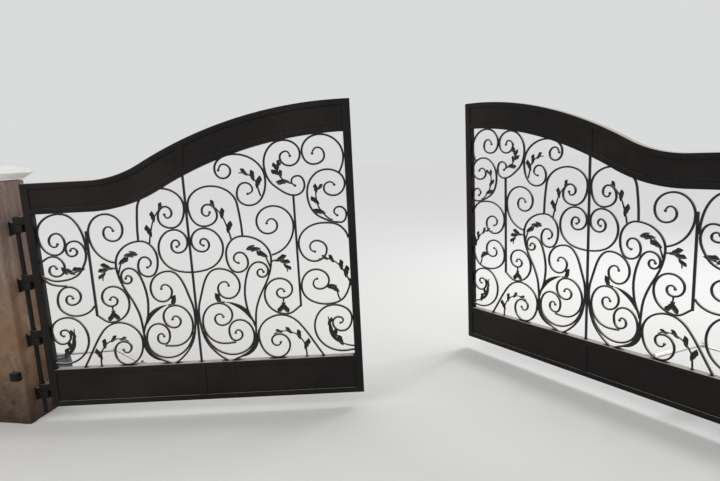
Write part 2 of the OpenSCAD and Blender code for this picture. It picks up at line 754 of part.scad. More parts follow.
// Crank: from the output shaft to the elbow, at the leaf's opening angle
module crank(open) {
    color("#b9bdc0")
        translate([-shaft_x, shaft_y, arm_z - arm_t / 2])
            rotate(open + arm_angle) {
                arm_bar(crank_l, crank_w, shaft_d + 2 * pin_fit, arm_pin_d - 2, arm_eye_d * 1.35, arm_eye_d);
                translate([crank_l, 0, 0])
                    cylinder(d = arm_pin_d, h = 2 * arm_t + washer_gap + pin_head);
            }
}

// Link: from the elbow to the leaf's bracket; it keeps its direction as the gate swings
module link(open) {
    elbow = [-shaft_x, shaft_y] + crank_l * along(open + arm_angle);
    color("#b9bdc0")
        translate([elbow[0], elbow[1], arm_z + arm_t / 2 + washer_gap])
            rotate(link_angle + 180)
                arm_bar(link_l, link_w, arm_pin_d + 2 * pin_fit, arm_pin_d + 2 * pin_fit, arm_eye_d, arm_eye_d);
}

module rounded_plan(w, d, r) {
    translate([r, 0])
        square([w - 2 * r, d]);
    translate([0, r])
        square([w, d - 2 * r]);
    for (x = [r, w - r])
        for (y = [r, d - r])
            translate([x, y])
                circle(r = r);
}

// Operator: a casing behind the pillar with a tapered lid, a rib round the joint between them,
// and the stub of its output shaft on top
module operator_casing() {
    back = pillar_d - rod_setback + back_plate_t;
    right = -casing_gap;
    joint_z = casing_top - lid_h;
    color("#7d858c") {
        translate([right - casing_l, back, casing_top - casing_h])
            linear_extrude(casing_h - lid_h - rib_h)
                rounded_plan(casing_l, casing_d, casing_r);
        translate([right - casing_l - rib_out, back, joint_z - rib_h])
            linear_extrude(rib_h)
                rounded_plan(casing_l + 2 * rib_out, casing_d + rib_out, casing_r);
        hull() {
            translate([right - casing_l, back, joint_z])
                linear_extrude(lid_h / 2)
                    rounded_plan(casing_l, casing_d, casing_r);
            translate([right - casing_l + lid_taper, back + lid_taper / 2, joint_z])
                linear_extrude(lid_h)
                    rounded_plan(casing_l - 2 * lid_taper, casing_d - 1.5 * lid_taper, casing_r - lid_taper / 2);
        }
        translate([-shaft_x, shaft_y, joint_z])
            cylinder(d = shaft_d, h = lid_h + washer_gap + arm_t + 6);
    }
}

module operator_plate() {
    back = pillar_d - rod_setback;
    color("#5c6166")
        block([-casing_gap - casing_l - 10, back, casing_top - casing_h - 20],
            [-casing_gap, back + back_plate_t, casing_top - 14]);
}

module pillar() {
    color("#a8927f")
        translate([-pillar_w / 2, -pillar_d / 2, 0])
            linear_extrude(pillar_h)
                rounded_plan(pillar_w, pillar_d, pillar_r);
}

// Half of the cap's moulding, as [overhang, height above the pillar]: a hollow, a round nose,
// a step and a top that slopes up to a flat
function cap_edge() =
    let (step_x = cap_over - max(cap_step_in, cap_h / 2), step_z = cap_cove_h + cap_h)
    concat(
        [for (i = [0 : 6]) let (a = 15 * i) [cap_cove_over * (1 - cos(a)), cap_cove_h * sin(a)]],
        [for (i = [0 : 8]) let (a = -90 + 22.5 * i)
            [cap_over - cap_h / 2 + cap_h / 2 * cos(a), cap_cove_h + cap_h / 2 + cap_h / 2 * sin(a)]],
        step_x < cap_over - cap_h / 2 ? [[step_x, step_z]] : [],
        [[step_x, step_z + cap_step_h], [step_x - cap_slope_w, step_z + cap_step_h + cap_top_h]]
    );

// The moulding on both sides of a body of the given width, run along it
module cap_run(w, l) {
    edge = cap_edge();
    last = len(edge) - 1;
    rotate([90, 0, 0])
        translate([0, 0, -l / 2])
            linear_extrude(l)
                polygon(concat(
                    [for (p = edge) [w / 2 + p[0], p[1]]],
                    [for (i = [last : -1 : 0]) [-w / 2 - edge[i][0], edge[i][1]]]));
}

// Stone cap: the moulding runs round the pillar, with mitred corners
module cap() {
    reach = 2 * cap_over + 20;
    color("#dcd8cf")
        translate([0, 0, pillar_h])
            intersection() {
                cap_run(pillar_w, pillar_d + reach);
                rotate(90)
                    cap_run(pillar_d, pillar_w + reach);
            }
}

module photocell() {
    color("#1d1f20") {
        translate([pillar_w / 2 - cell_edge - cell_w, -pillar_d / 2 - cell_d, cell_z - cell_h / 2])
            cube([cell_w, cell_d, cell_h]);
        translate([pillar_w / 2 - cell_edge - 1, -pillar_d / 2 - cell_d * 0.55, cell_z])
            rotate([0, 90, 0])
                cylinder(d = cell_d * 0.7, h = 4);
    }
}

// Where things stand: side is 0 on the left and 1 on the right
function opening(side) = side == 0 ? left_open_angle : right_open_angle;

module on_side(side) {
    if (side == 0)
        children();
    else
        translate([2 * middle_x, 0, 0])
            mirror([1, 0, 0])
                children();
}

module at_rod(side) {
    on_side(side)
        translate([rod_x, rod_y, ground_gap])
            children();
}

module on_leaf(side) {
    at_rod(side)
        rotate(opening(side))
            children();
}

module at_rod_on_ground(side) {
    on_side(side)
        translate([rod_x, rod_y, 0])
            children();
}

on_side(0) pillar();  // left_pillar
on_side(0) cap();  // left_cap
at_rod(0) hinge_lugs();  // left_hinge_lugs
at_rod(0) hinge_rod();  // left_hinge_rod
on_side(0) photocell();  // left_photocell
at_rod_on_ground(0) operator_plate();  // left_operator_plate
at_rod_on_ground(0) operator_casing();  // left_operator_casing
on_side(1) pillar();  // right_pillar
on_side(1) cap();  // right_cap
at_rod(1) hinge_lugs();  // right_hinge_lugs
at_rod(1) hinge_rod();  // right_hinge_rod
on_side(1) photocell();  // right_photocell
at_rod_on_ground(1) operator_plate();  // right_operator_plate
at_rod_on_ground(1) operator_casing();  // right_operator_casing
on_leaf(0) hinge_stile();  // left_hinge_stile
on_leaf(0) meeting_stile();  // left_meeting_stile
on_leaf(0) top_rail();  // left_top_rail
on_leaf(0) top_panel();  // left_top_panel
on_leaf(0) bottom_rail();  // left_bottom_rail
on_leaf(0) bottom_panel();  // left_bottom_panel
on_leaf(0) middle_upright();  // left_middle_upright
on_leaf(0) side_uprights();  // left_side_uprights
on_leaf(0) scrolls(false);  // left_hinge_scrolls
on_leaf(0) scrolls(true);  // left_crest_scrolls
on_leaf(0) acanthus();  // left_acanthus
on_leaf(0) knuckles();  // left_knuckles
on_leaf(0) arm_bracket();  // left_arm_bracket
on_leaf(1) hinge_stile();  // right_hinge_stile
on_leaf(1) meeting_stile();  // right_meeting_stile
on_leaf(1) top_rail();  // right_top_rail
on_leaf(1) top_panel();  // right_top_panel
on_leaf(1) bottom_rail();  // right_bottom_rail
on_leaf(1) bottom_panel();  // right_bottom_panel
on_leaf(1) middle_upright();  // right_middle_upright
on_leaf(1) side_uprights();  // right_side_uprights
on_leaf(1) scrolls(false);  // right_hinge_scrolls
on_leaf(1) scrolls(true);  // right_crest_scrolls
on_leaf(1) acanthus();  // right_acanthus
on_leaf(1) knuckles();  // right_knuckles
on_leaf(1) arm_bracket();  // right_arm_bracket
at_rod(0) crank(left_open_angle);  // left_crank
at_rod(0) link(left_open_angle);  // left_link
at_rod(1) crank(right_open_angle);  // right_crank
at_rod(1) link(right_open_angle);  // right_link
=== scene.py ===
"""Wrought iron driveway gate: the looks of its two scrollwork leaves, its posts and its operators.

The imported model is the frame. Each piece is modelled once, in the coordinates of a left-hand leaf,
rod or post, and is copied from there to both sides of the gate. Metres, Z up.
"""

import json
import math
from contextlib import contextmanager

import bmesh
import bpy
from mathutils import Matrix, Vector


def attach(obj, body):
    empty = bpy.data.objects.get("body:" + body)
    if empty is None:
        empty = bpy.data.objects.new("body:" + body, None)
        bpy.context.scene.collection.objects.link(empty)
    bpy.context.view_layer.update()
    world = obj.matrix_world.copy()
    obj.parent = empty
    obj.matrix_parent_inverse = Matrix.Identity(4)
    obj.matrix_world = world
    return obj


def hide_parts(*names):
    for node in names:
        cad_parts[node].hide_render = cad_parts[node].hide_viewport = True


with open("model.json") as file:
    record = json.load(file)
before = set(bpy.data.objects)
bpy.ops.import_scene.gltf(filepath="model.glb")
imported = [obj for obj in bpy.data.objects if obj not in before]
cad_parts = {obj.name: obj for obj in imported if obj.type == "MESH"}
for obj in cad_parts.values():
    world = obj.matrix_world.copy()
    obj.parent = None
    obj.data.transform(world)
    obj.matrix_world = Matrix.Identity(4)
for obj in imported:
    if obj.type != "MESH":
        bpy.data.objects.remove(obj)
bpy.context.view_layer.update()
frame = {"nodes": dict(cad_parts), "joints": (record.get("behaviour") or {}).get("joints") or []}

bl_info = {
    "name": "Wrought Iron Driveway Gate",
    "version": (1, 0, 0),
    "blender": (4, 5, 0),
    "location": "3D View > Sidebar > Gate",
    "description": "Dresses the gate's frame with forged scrollwork, stucco pillars and operators",
    "category": "Object",
}

SIDES = ("left", "right")
HALVES = (False, True)  # the half leaf by the hinge, and the half with the crest
HINGES = 4  # lugs on a pillar, and knuckles on a leaf


# Places that come from the frame


def joint(name):
    """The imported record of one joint."""
    return next(j for j in frame["joints"] if j["name"] == name)


def joint_places(name):
    """Where the joints of a name stand, by side."""
    return {side: Vector(joint(f"{side}_{name}")["pos_m"]) for side in SIDES}


OPEN_ANGLE = {
    "left": -joint("left_leaf_swing")["range_deg"][0],
    "right": joint("right_leaf_swing")["range_deg"][1],
}
ROD_FOOT = joint_places("leaf_swing")
SHAFT = joint_places("crank_turn")
ELBOW = joint_places("elbow_turn")
SHAFT_FROM_ROD = SHAFT["left"] - ROD_FOOT["left"]
GATE_MIDDLE = (ROD_FOOT["left"].x + ROD_FOOT["right"].x) / 2


def mirrored(side):
    """Mirrors a left-hand piece for the right side."""
    return Matrix.Scale(-1 if side == "right" else 1, 4, (1, 0, 0))


def on_post(side):
    """From the left pillar's coordinates to the frame's."""
    across = 2 * GATE_MIDDLE if side == "right" else 0
    return Matrix.Translation((across, 0, 0)) @ mirrored(side)


def at_rod(side):
    """From coordinates about the rod, unturned, to the frame's."""
    return Matrix.Translation(ROD_FOOT[side]) @ mirrored(side)


def on_leaf(side):
    """From leaf coordinates (along the leaf, inwards, up, all from the rod's foot) to the frame's."""
    return at_rod(side) @ Matrix.Rotation(math.radians(OPEN_ANGLE[side]), 4, "Z")


def on_crank(side):
    """As at_rod, but the right-hand crank is turned to its own angle."""
    turn = Matrix.Rotation(math.radians(OPEN_ANGLE[side] - OPEN_ANGLE["left"]), 4, "Z")
    return at_rod(side) @ Matrix.Translation(SHAFT_FROM_ROD) @ turn @ Matrix.Translation(-SHAFT_FROM_ROD)


def on_link(side):
    """As at_rod, but the right-hand link is moved to its own elbow. It keeps its direction."""
    elbow = mirrored(side) @ (ELBOW[side] - ROD_FOOT[side])
    return at_rod(side) @ Matrix.Translation(elbow - (ELBOW["left"] - ROD_FOOT["left"]))


def box_in(node, place):
    """Lowest and highest corner of a left-hand CAD node, in the coordinates that a place starts from."""
    back = place("left").inverted()
    points = [back @ v.co for v in frame["nodes"][f"left_{node}"].data.vertices]
    return [Vector([end(p[k] for p in points) for k in range(3)]) for end in (min, max)]


HINGE_STILE = box_in("hinge_stile", on_leaf)
MEETING_STILE = box_in("meeting_stile", on_leaf)
HALF_DEPTH = (HINGE_STILE[1].y - HINGE_STILE[0].y) / 2
LEAF_START = HINGE_STILE[0].x
LEAF_WIDTH = MEETING_STILE[1].x - LEAF_START
STILE_WIDTH = HINGE_STILE[1].x - LEAF_START
LEAF_MIDDLE = sum(corner.x for corner in box_in("middle_upright", on_leaf)) / 2
MIDDLE_AT = LEAF_MIDDLE - LEAF_START
HINGE_END_HEIGHT = HINGE_STILE[1].z
CREST_RISE = MEETING_STILE[1].z - HINGE_END_HEIGHT
SILL = box_in("bottom_rail", on_leaf)[1].z


# The sizes and colours that a user would change


def kind_of(make, **fixed):
    def declare(name, description, default, **more):
        return make(name=name, description=description, default=default, **fixed, **more)
    return declare


length = kind_of(bpy.props.FloatProperty, min=0, precision=4, subtype="DISTANCE", unit="LENGTH")
share = kind_of(bpy.props.FloatProperty, min=0, subtype="FACTOR")
angle = kind_of(bpy.props.FloatProperty, subtype="ANGLE", unit="ROTATION")
power = kind_of(bpy.props.FloatProperty, min=0, unit="POWER")
focal = kind_of(bpy.props.FloatProperty, subtype="DISTANCE_CAMERA", unit="CAMERA")
spot = kind_of(bpy.props.FloatVectorProperty, size=3, subtype="TRANSLATION", unit="LENGTH")
colour = kind_of(bpy.props.FloatVectorProperty, min=0, max=1, size=3, subtype="COLOR")


class GateLeafSizes(bpy.types.PropertyGroup):
    """Sizes of the leaves' frame and scrollwork."""

    level_run: length("Level Run", "Level run of the top rail beside the hinge stile", 0.427)
    crest_run: length("Crest Run", "Level run of the top rail at its crest", 0.036)
    valley_radius: length("Valley Radius", "Radius of the top rail's hollow bend, on its upper edge", 0.726)
    top_rail_depth: length("Top Rail Depth", "Depth of the top rail, square to its edge", 0.2)
    rail_tube: length("Rail Tube", "Width of the tubes that edge the rails", 0.038)
    divider: length("Divider", "Width of the divider tube in each rail", 0.048)
    tube_corner: length("Tube Corner", "Corner radius of the frame's tubes", 0.0032)
    bar: length("Scroll Bar", "Side of the square scroll bars", 0.013)
    bar_corner: length("Bar Corner", "Corner radius of the forged bars", 0.0022)
    eye_share: share("Eye Share", "Width of a bar beside its eye, as a share of the full width", 0.75, max=1)
    eye: length("Scroll Eye", "Diameter of the forged eye that ends a scroll", 0.019)
    upright: length("Upright", "Side of the square upright bars", 0.014)
    stem: length("Spray Stem", "Diameter of a leaf spray's stem at its foot", 0.0125)
    leaflet_length: length("Leaflet Length", "Length of the largest acanthus leaflet", 0.088)
    leaflet_width: length("Leaflet Width", "Width of the largest acanthus leaflet", 0.038)
    small_leaflet: share(
        "Small Leaflet", "Size of the leaflets between the large ones, as a share", 0.68, max=1)
    leaflet_lean: angle("Leaflet Lean", "How far a leaflet leans out from its stem", math.radians(22))
    leaflet_sheet: length("Leaflet Sheet", "Thickness of a leaflet's sheet", 0.0028)
    leaflet_cup: length("Leaflet Cup", "How far a leaflet's edges stand towards the street", 0.007)
    crescent: length("Crescent", "Width of a crescent leaf", 0.030)


class GatePostSizes(bpy.types.PropertyGroup):
    """Sizes of the pillars, caps and fittings."""

    pillar_corner: length("Pillar Corner", "Rounding of the pillar's upright corners", 0.012)
    stucco_cell: length("Stucco Cell", "Spacing of the points that carry the trowelled surface", 0.014)
    stucco_relief: length("Stucco Relief", "Depth of the trowelled unevenness", 0.0035)
    cap_slab: length("Cap Slab", "Height of the cap's round-nosed slab", 0.024)
    cap_overhang: length("Cap Overhang", "Overhang of the cap's slab", 0.042)
    cap_cove: length("Cap Cove", "Height of the moulding under the slab", 0.034)
    cap_cove_reach: length("Cap Cove Reach", "Overhang of the moulding at the slab", 0.030)
    cap_step: length("Cap Step", "Height of the step above the slab", 0.014)
    cap_step_in: length("Cap Step In", "How far the step's face stands in from the slab's edge", 0.016)
    cap_slope: length("Cap Slope", "Breadth of the cap's sloping and stepped top", 0.075)
    cap_weathering: length("Cap Weathering", "Rise of the cap's sloping and stepped top", 0.022)
    lug_block: length("Lug Block", "Side of a lug's square block", 0.042)
    lug_tall: length("Lug Height", "Height of a lug's block and of a knuckle", 0.050)
    lug_web: length("Lug Web", "Thickness of the web plate between a lug and the wall", 0.012)
    lug_web_height: length("Lug Web Height", "Height of the web plate at the wall", 0.096)
    fitting_edge: length("Fitting Edge", "Rounding of the iron fittings' edges", 0.0025)
    weld: length("Weld", "Radius of a weld bead", 0.003)
    casing_corner: length("Casing Corner", "Rounding of the casing's upright corners", 0.022)
    casing_lid: length("Casing Lid", "Height of the casing's tapered lid", 0.058)
    casing_rib: length("Casing Rib", "How far the casing's rib stands out", 0.003)
    bolt: length("Bolt", "Width of a bolt head across its flats", 0.013)


class GateColours(bpy.types.PropertyGroup):
    """Colours of the finishes, as linear values."""

    iron: colour("Iron", "Near-black satin paint of the leaves", (0.0085, 0.0076, 0.0073))
    iron_faded: colour("Faded Iron", "Where sun has faded the paint to brown", (0.0230, 0.0175, 0.0150))
    iron_rubbed: colour("Rubbed Iron", "Brown primer and rust at rubbed edges", (0.072, 0.036, 0.021))
    # Shaded Iron is painted shade, laid in the iron's tight corners.
    iron_shade: colour("Shaded Iron", "Paint in the tight corners", (0.002, 0.002, 0.002))
    # Dust also stands in for a painted highlight along the tops of the rails and bars.
    dust: colour("Dust", "Sun-bleached dust that lies on faces that look up", (0.460, 0.430, 0.390))
    # The stucco colours are set darker than the stucco is in light, towards its shaded look: painted shade
    # over the whole pillar. Dark Stucco also paints the shadow at the pillars' feet.
    stucco: colour("Stucco", "Pillar stucco", (0.212, 0.122, 0.070))
    stucco_pale: colour("Pale Stucco", "Worn and limy patches of the stucco", (0.345, 0.262, 0.205))
    stucco_grey: colour("Grey Stucco", "Weathered stucco under the cap", (0.215, 0.165, 0.145))
    stucco_dark: colour("Dark Stucco", "Stains and the splashed foot of the stucco", (0.048, 0.033, 0.026))
    cap: colour("Cap", "Stone of the caps", (0.880, 0.875, 0.850))
    cap_stain: colour("Cap Stain", "Weathering in the caps' pores", (0.430, 0.400, 0.350))
    casing: colour("Casing", "Paint of the operators' casings", (0.075, 0.092, 0.118))
    plate: colour("Plate", "Zinc-grey steel of the plates", (0.150, 0.155, 0.165))
    arm: colour("Arm", "Bright zinc of the operators' arms", (0.860, 0.870, 0.870))
    arm_rubbed: colour("Rubbed Arm", "Bare steel along the arms' edges", (0.930, 0.940, 0.940))
    housing: colour("Housing", "Moulded black of the photocells", (0.0045, 0.0045, 0.0055))
    lens: colour("Lens", "Dark red window of the photocells", (0.008, 0.002, 0.002))


class GateStage(bpy.types.PropertyGroup):
    """The floor, the lamps and the camera."""

    floor_size: length("Floor Size", "Side of the square floor", 120.0)
    floor: colour("Floor", "Colour of the floor round the gate", (0.780, 0.785, 0.790))
    floor_far: colour("Far Floor", "Colour of the floor far from the gate", (0.930, 0.940, 0.960))
    backdrop: colour("Backdrop", "Colour of the space behind", (0.700, 0.705, 0.710))
    fill_tint: colour("Fill Tint", "Colour of the even light", (1.0, 0.985, 0.965))
    fill: share("Fill", "Strength of the even light from all round", 0.75, max=3)
    key: power("Key", "Power of the large lamp high in front, in watts", 80)
    rim: power("Rim", "Power of the lamp high behind the gate, in watts", 170)
    camera_at: spot("Camera At", "Where the camera stands", (3.2051, -2.9796, 1.727))
    heading: angle("Heading", "Turn from straight in, towards the right pillar", math.radians(-11.203))
    pitch: angle("Pitch", "Tilt of the camera above the level", math.radians(-9.669))
    roll: angle("Roll", "Turn of the camera about its own line of sight", math.radians(-2.867))
    lens: focal("Lens", "Focal length on a 36 mm wide sensor", 26.47)


GROUPS = {"leaf": GateLeafSizes, "posts": GatePostSizes, "colours": GateColours, "stage": GateStage}


def sizes(group):
    """One of the four property groups on the scene."""
    return getattr(bpy.context.scene, f"gate_{group}")


# Finishes


def arithmetic(operation, swapped=False):
    """One of Amount's operators: it adds a Math node."""
    def work(self, other):
        first, second = (other, self) if swapped else (self, other)
        return self.finish.amount("ShaderNodeMath", 0, {"operation": operation}, {0: first, 1: second})
    return work


class Amount:
    """A number that varies over a surface. Arithmetic on it adds Math nodes to its finish."""

    def __init__(self, finish, socket):
        self.finish = finish
        self.socket = socket

    __add__ = __radd__ = arithmetic("ADD")
    __sub__ = arithmetic("SUBTRACT")
    __rsub__ = arithmetic("SUBTRACT", swapped=True)
    __mul__ = __rmul__ = arithmetic("MULTIPLY")

    def clamped(self):
        """The same amount, held between 0 and 1."""
        settings = {"operation": "ADD", "use_clamp": True}
        return self.finish.amount("ShaderNodeMath", 0, settings, {0: self, 1: 0.0})

    def between(self, low, high):
        """0 where the amount is low, 1 where it is high, and smooth in between."""
        settings = {"interpolation_type": "SMOOTHSTEP"}
        return self.finish.amount(
            "ShaderNodeMapRange", 0, settings, {"Value": self, "From Min": low, "From Max": high})


class Nodes:
    """The nodes of a material or of the world."""

    def __init__(self, owner):
        owner.use_nodes = True
        self.tree = owner.node_tree
        self.tree.nodes.clear()

    def node(self, kind, settings=None, sockets=None):
        """Adds a node: its settings are set first, then the values or links of its sockets."""
        node = self.tree.nodes.new(kind)
        for name, value in (settings or {}).items():
            setattr(node, name, value)
        for name, value in (sockets or {}).items():
            socket = node.inputs[name]
            if isinstance(value, Amount):
                value = value.socket
            if isinstance(value, bpy.types.NodeSocket):
                self.tree.links.new(value, socket)
            else:
                socket.default_value = (*value[:3], 1.0) if socket.type == "RGBA" else value
        return node


class Finish(Nodes):
    """A procedural material in the making, with the colour and the relief that it has so far."""

    def __init__(self, name, colour):
        self.material = bpy.data.materials.new(name)
        super().__init__(self.material)
        self.where = self.node("ShaderNodeTexCoord").outputs["Object"]
        self.normal = self.node("ShaderNodeNewGeometry").outputs["Normal"]
        self.colour = colour
        self.relief = None

    def amount(self, kind, output, settings=None, sockets=None):
        """Adds a node and takes one of its outputs as an amount."""
        return Amount(self, self.node(kind, settings, sockets).outputs[output])

    def stretched(self, x, y, z):
        """Object coordinates multiplied by three factors."""
        return self.node("ShaderNodeMapping", None, {"Vector": self.where, "Scale": (x, y, z)}).outputs[0]

    def noise(self, scale, detail=3.0, roughness=0.55, at=None, distortion=0.0):
        """Cloudy variation about 0.5."""
        return self.amount("ShaderNodeTexNoise", "Fac", None, {
            "Vector": at or self.where, "Scale": scale, "Detail": detail, "Roughness": roughness,
            "Distortion": distortion})

    def cells(self, scale):
        """Distance to the nearest of scattered points."""
        return self.amount("ShaderNodeTexVoronoi", "Distance", None, {"Vector": self.where, "Scale": scale})

    def height(self):
        """Height above the ground, in metres."""
        return self.amount("ShaderNodeSeparateXYZ", "Z", None, {0: self.where})

    def facing_up(self):
        """1 on faces that look up and 0 on upright faces."""
        return self.amount("ShaderNodeSeparateXYZ", "Z", None, {0: self.normal}).clamped()

    def corners(self, distance):
        """1 in tight inner corners, found by occlusion, and 0 on open faces: it places the iron's painted
        shade and the stone's darker hollows, and keeps dust off ledges.
        """
        return 1 - self.amount("ShaderNodeAmbientOcclusion", "AO", {"samples": 8}, {"Distance": distance})

    def edges(self, radius):
        """1 along sharp edges, fading over the radius."""
        rounded = self.node("ShaderNodeBevel", {"samples": 4}, {"Radius": radius}).outputs[0]
        settings = {"operation": "DOT_PRODUCT"}
        turned = self.amount("ShaderNodeVectorMath", "Value", settings, {0: rounded, 1: self.normal})
        return (1 - turned).between(0.01, 0.2)

    def coat(self, colour, amount):
        """Lays a colour over the one so far, by an amount."""
        mixed = self.node("ShaderNodeMix", {"data_type": "RGBA"}, {0: amount, 6: self.colour, 7: colour})
        self.colour = mixed.outputs[2]

    def emboss(self, height, distance, strength=0.5):
        """Adds a height pattern to the relief so far."""
        sockets = {"Height": height, "Distance": distance, "Strength": strength}
        if self.relief:
            sockets["Normal"] = self.relief
        self.relief = self.node("ShaderNodeBump", None, sockets).outputs[0]

    def surface(self, **sockets):
        """Ends the finish in a Principled surface. Socket names are written with underscores."""
        named = {name.replace("_", " "): value for name, value in sockets.items()}
        if self.relief:
            named["Normal"] = self.relief
        shader = self.node("ShaderNodeBsdfPrincipled", None, {"Base Color": self.colour, **named})
        self.node("ShaderNodeOutputMaterial", None, {"Surface": shader.outputs[0]})
        return self.material


def painted_iron(name, colours, dust_and_highlight, rubbed, peel_scale=260.0):
    """Near-black satin paint: faded patches, dust and a painted highlight on open tops, rubbed brown edges,
    painted shade in corners.
    """
    finish = Finish(name, colours.iron)
    faded = finish.noise(1.7, 4.0).between(0.40, 0.70)
    mottled = finish.noise(38.0).between(0.35, 0.75)
    finish.coat(colours.iron_faded, faded * 0.55 + mottled * 0.15)
    # Painted shade: tight corners, such as a panel's edges along its tubes, are darkened with the shaded
    # iron colour.
    closed_in = finish.corners(0.022)
    finish.coat(colours.iron_shade, closed_in.between(0.12, 0.45) * 0.9)
    ledge = 1 - closed_in.between(0.06, 0.26)
    # The pale coat on faces that look up is partly dust and partly a painted highlight along the rails'
    # tops.
    patchy = finish.noise(19.0, 4.0).between(0.05, 0.45)
    pale_coat = finish.facing_up().between(0.35, 0.9) * patchy * ledge * dust_and_highlight
    drips = finish.noise(5.0, 4.0, at=finish.stretched(6.0, 6.0, 0.5))
    dirt_and_top_highlight = (pale_coat + drips.between(0.58, 0.85) * (dust_and_highlight * 0.035)).clamped()
    finish.coat(colours.dust, dirt_and_top_highlight)
    worn = finish.edges(0.004) * finish.noise(55.0, 4.0).between(0.52, 0.7) * rubbed
    finish.coat(colours.iron_rubbed, worn)
    finish.emboss(finish.noise(peel_scale, 2.0), 0.0004, 0.4)
    finish.emboss(finish.noise(17.0, 2.0), 0.0016, 0.3)
    return finish.surface(
        Roughness=0.40 + mottled * 0.12 + dirt_and_top_highlight * 0.4 + worn * 0.25 + closed_in * 0.4,
        Specular_IOR_Level=0.14)


def forged_iron(name, colours, dust_and_highlight, rubbed):
    """The same paint over hammered bar: flats and fine scale, dust and a painted highlight on top, and a
    little shinier.
    """
    finish = Finish(name, colours.iron)
    mottled = finish.noise(30.0, 4.0).between(0.35, 0.75)
    finish.coat(colours.iron_faded, mottled * 0.5)
    # The pale coat on faces that look up is partly dust and partly a painted highlight along the bars' upper
    # faces.
    pale_coat = finish.facing_up().between(0.12, 0.6) * finish.noise(34.0).between(0.05, 0.45) * dust_and_highlight
    finish.coat(colours.dust, pale_coat)
    worn = finish.noise(75.0, 4.0).between(0.62, 0.74) * rubbed
    finish.coat(colours.iron_rubbed, worn)
    finish.emboss(finish.cells(62.0), 0.0012)
    finish.emboss(finish.noise(420.0), 0.0004)
    return finish.surface(
        Roughness=0.30 + mottled * 0.12 + pale_coat * 0.35 + worn * 0.3, Specular_IOR_Level=0.35)


def trowelled_stucco(name, colours):
    """Warm stucco, set darker by painted shade: limy patches, grey weathering and drips under the cap, and a
    dark foot of stain and painted shadow.
    """
    finish = Finish(name, colours.stucco)
    height = finish.height()
    clouds = finish.noise(3.1, 5.0, 0.62, distortion=0.8)
    patches = finish.noise(5.0, 6.0, 0.7, at=finish.stretched(1.5, 1.5, 0.8), distortion=0.3)
    bare = finish.noise(9.0, 6.0, 0.72, distortion=0.3).between(0.54, 0.7)
    grain = finish.noise(190.0, 4.0)
    weathered = (height + clouds * 0.9).between(1.15, 1.75)
    streaks = finish.noise(3.6, 5.0, 0.6, at=finish.stretched(8.0, 8.0, 0.42)).between(0.46, 0.72)
    under_cap = streaks * height.between(0.7, 1.5) * 0.6
    # Below this the stucco darkens: the foot is partly stain and partly painted shadow.
    above_foot_stain_and_shadow = (height + finish.noise(6.0, 5.0, 0.65) * 0.5).between(0.25, 0.85)
    pits = finish.cells(95.0).between(0.05, 0.16)
    tint = clouds.between(0.2, 0.48)
    finish.coat(colours.stucco_pale, clouds.between(0.42, 0.72) * 0.5)
    finish.coat(colours.stucco_grey, weathered * 0.8)
    finish.coat(colours.stucco_pale, patches.between(0.5, 0.68) * 0.8)
    stains_and_foot_shadow = under_cap + (1 - above_foot_stain_and_shadow) * 0.95 + (1 - tint) * 0.5 + bare * 0.45 + (1 - pits) * 0.35
    finish.coat(colours.stucco_dark, stains_and_foot_shadow.clamped())
    finish.coat(colours.stucco_pale, grain.between(0.45, 0.7) * 0.12)
    finish.emboss(grain, 0.0018, 0.6)
    finish.emboss(finish.noise(26.0, 4.0, 0.5, at=finish.stretched(1.0, 1.0, 0.6)), 0.006)
    finish.emboss(pits, 0.0018)
    return finish.surface(Roughness=0.88 + grain * 0.1, Specular_IOR_Level=0.15)


def cast_stone(name, colours):
    """Pale cast stone with fine pores, darker in its hollows and weathered along its drips."""
    finish = Finish(name, colours.cap)
    clouds = finish.noise(5.0, 5.0, 0.6)
    pores = finish.cells(240.0).between(0.06, 0.2)
    specks = finish.noise(130.0).between(0.58, 0.72)
    drips = finish.noise(4.0, 4.0, at=finish.stretched(9.0, 9.0, 0.8)).between(0.5, 0.75)
    hollows = finish.corners(0.03).between(0.2, 0.7)
    weather = clouds.between(0.4, 0.75) * 0.18 + drips * (1 - finish.facing_up()) * 0.25 + specks * 0.18
    finish.coat(colours.cap_stain, (weather + (1 - pores) * 0.35 + hollows * 0.55).clamped())
    finish.emboss(finish.noise(300.0, 4.0), 0.0008)
    finish.emboss(pores, 0.0012, 0.6)
    return finish.surface(Roughness=0.78 + clouds * 0.12, Specular_IOR_Level=0.3)


def casing_paint(name, colours):
    """Blue-grey painted casting with dust on its lid and rubs along its edges."""
    finish = Finish(name, colours.casing)
    mottled = finish.noise(9.0, 4.0)
    finish.coat(colours.plate, mottled.between(0.35, 0.8) * 0.3)
    pale_coat = finish.facing_up().between(0.4, 0.95) * finish.noise(24.0, 4.0).between(0.3, 0.7) * 0.45
    finish.coat(colours.dust, pale_coat)
    finish.coat(colours.arm, finish.edges(0.005) * finish.noise(60.0, 4.0).between(0.5, 0.68) * 0.6)
    finish.emboss(finish.noise(330.0, 2.0), 0.0005)
    return finish.surface(Roughness=0.40 + mottled * 0.12 + pale_coat * 0.3, Specular_IOR_Level=0.5)


def plate_steel(name, colours):
    """Dull zinc-grey steel, grimy in patches, faintly spangled and rusty at its edges."""
    finish = Finish(name, colours.plate)
    grime = finish.noise(12.0, 5.0).between(0.4, 0.75)
    finish.coat(colours.iron_faded, grime * 0.5 + finish.cells(46.0).between(0.1, 0.8) * 0.2)
    rusted = finish.edges(0.004) * finish.noise(48.0, 4.0).between(0.52, 0.7) * 0.7
    finish.coat(colours.iron_rubbed, rusted)
    finish.emboss(finish.noise(240.0), 0.0005)
    return finish.surface(Metallic=0.85 - rusted * 0.7, Roughness=0.42 + grime * 0.18 + rusted * 0.3)


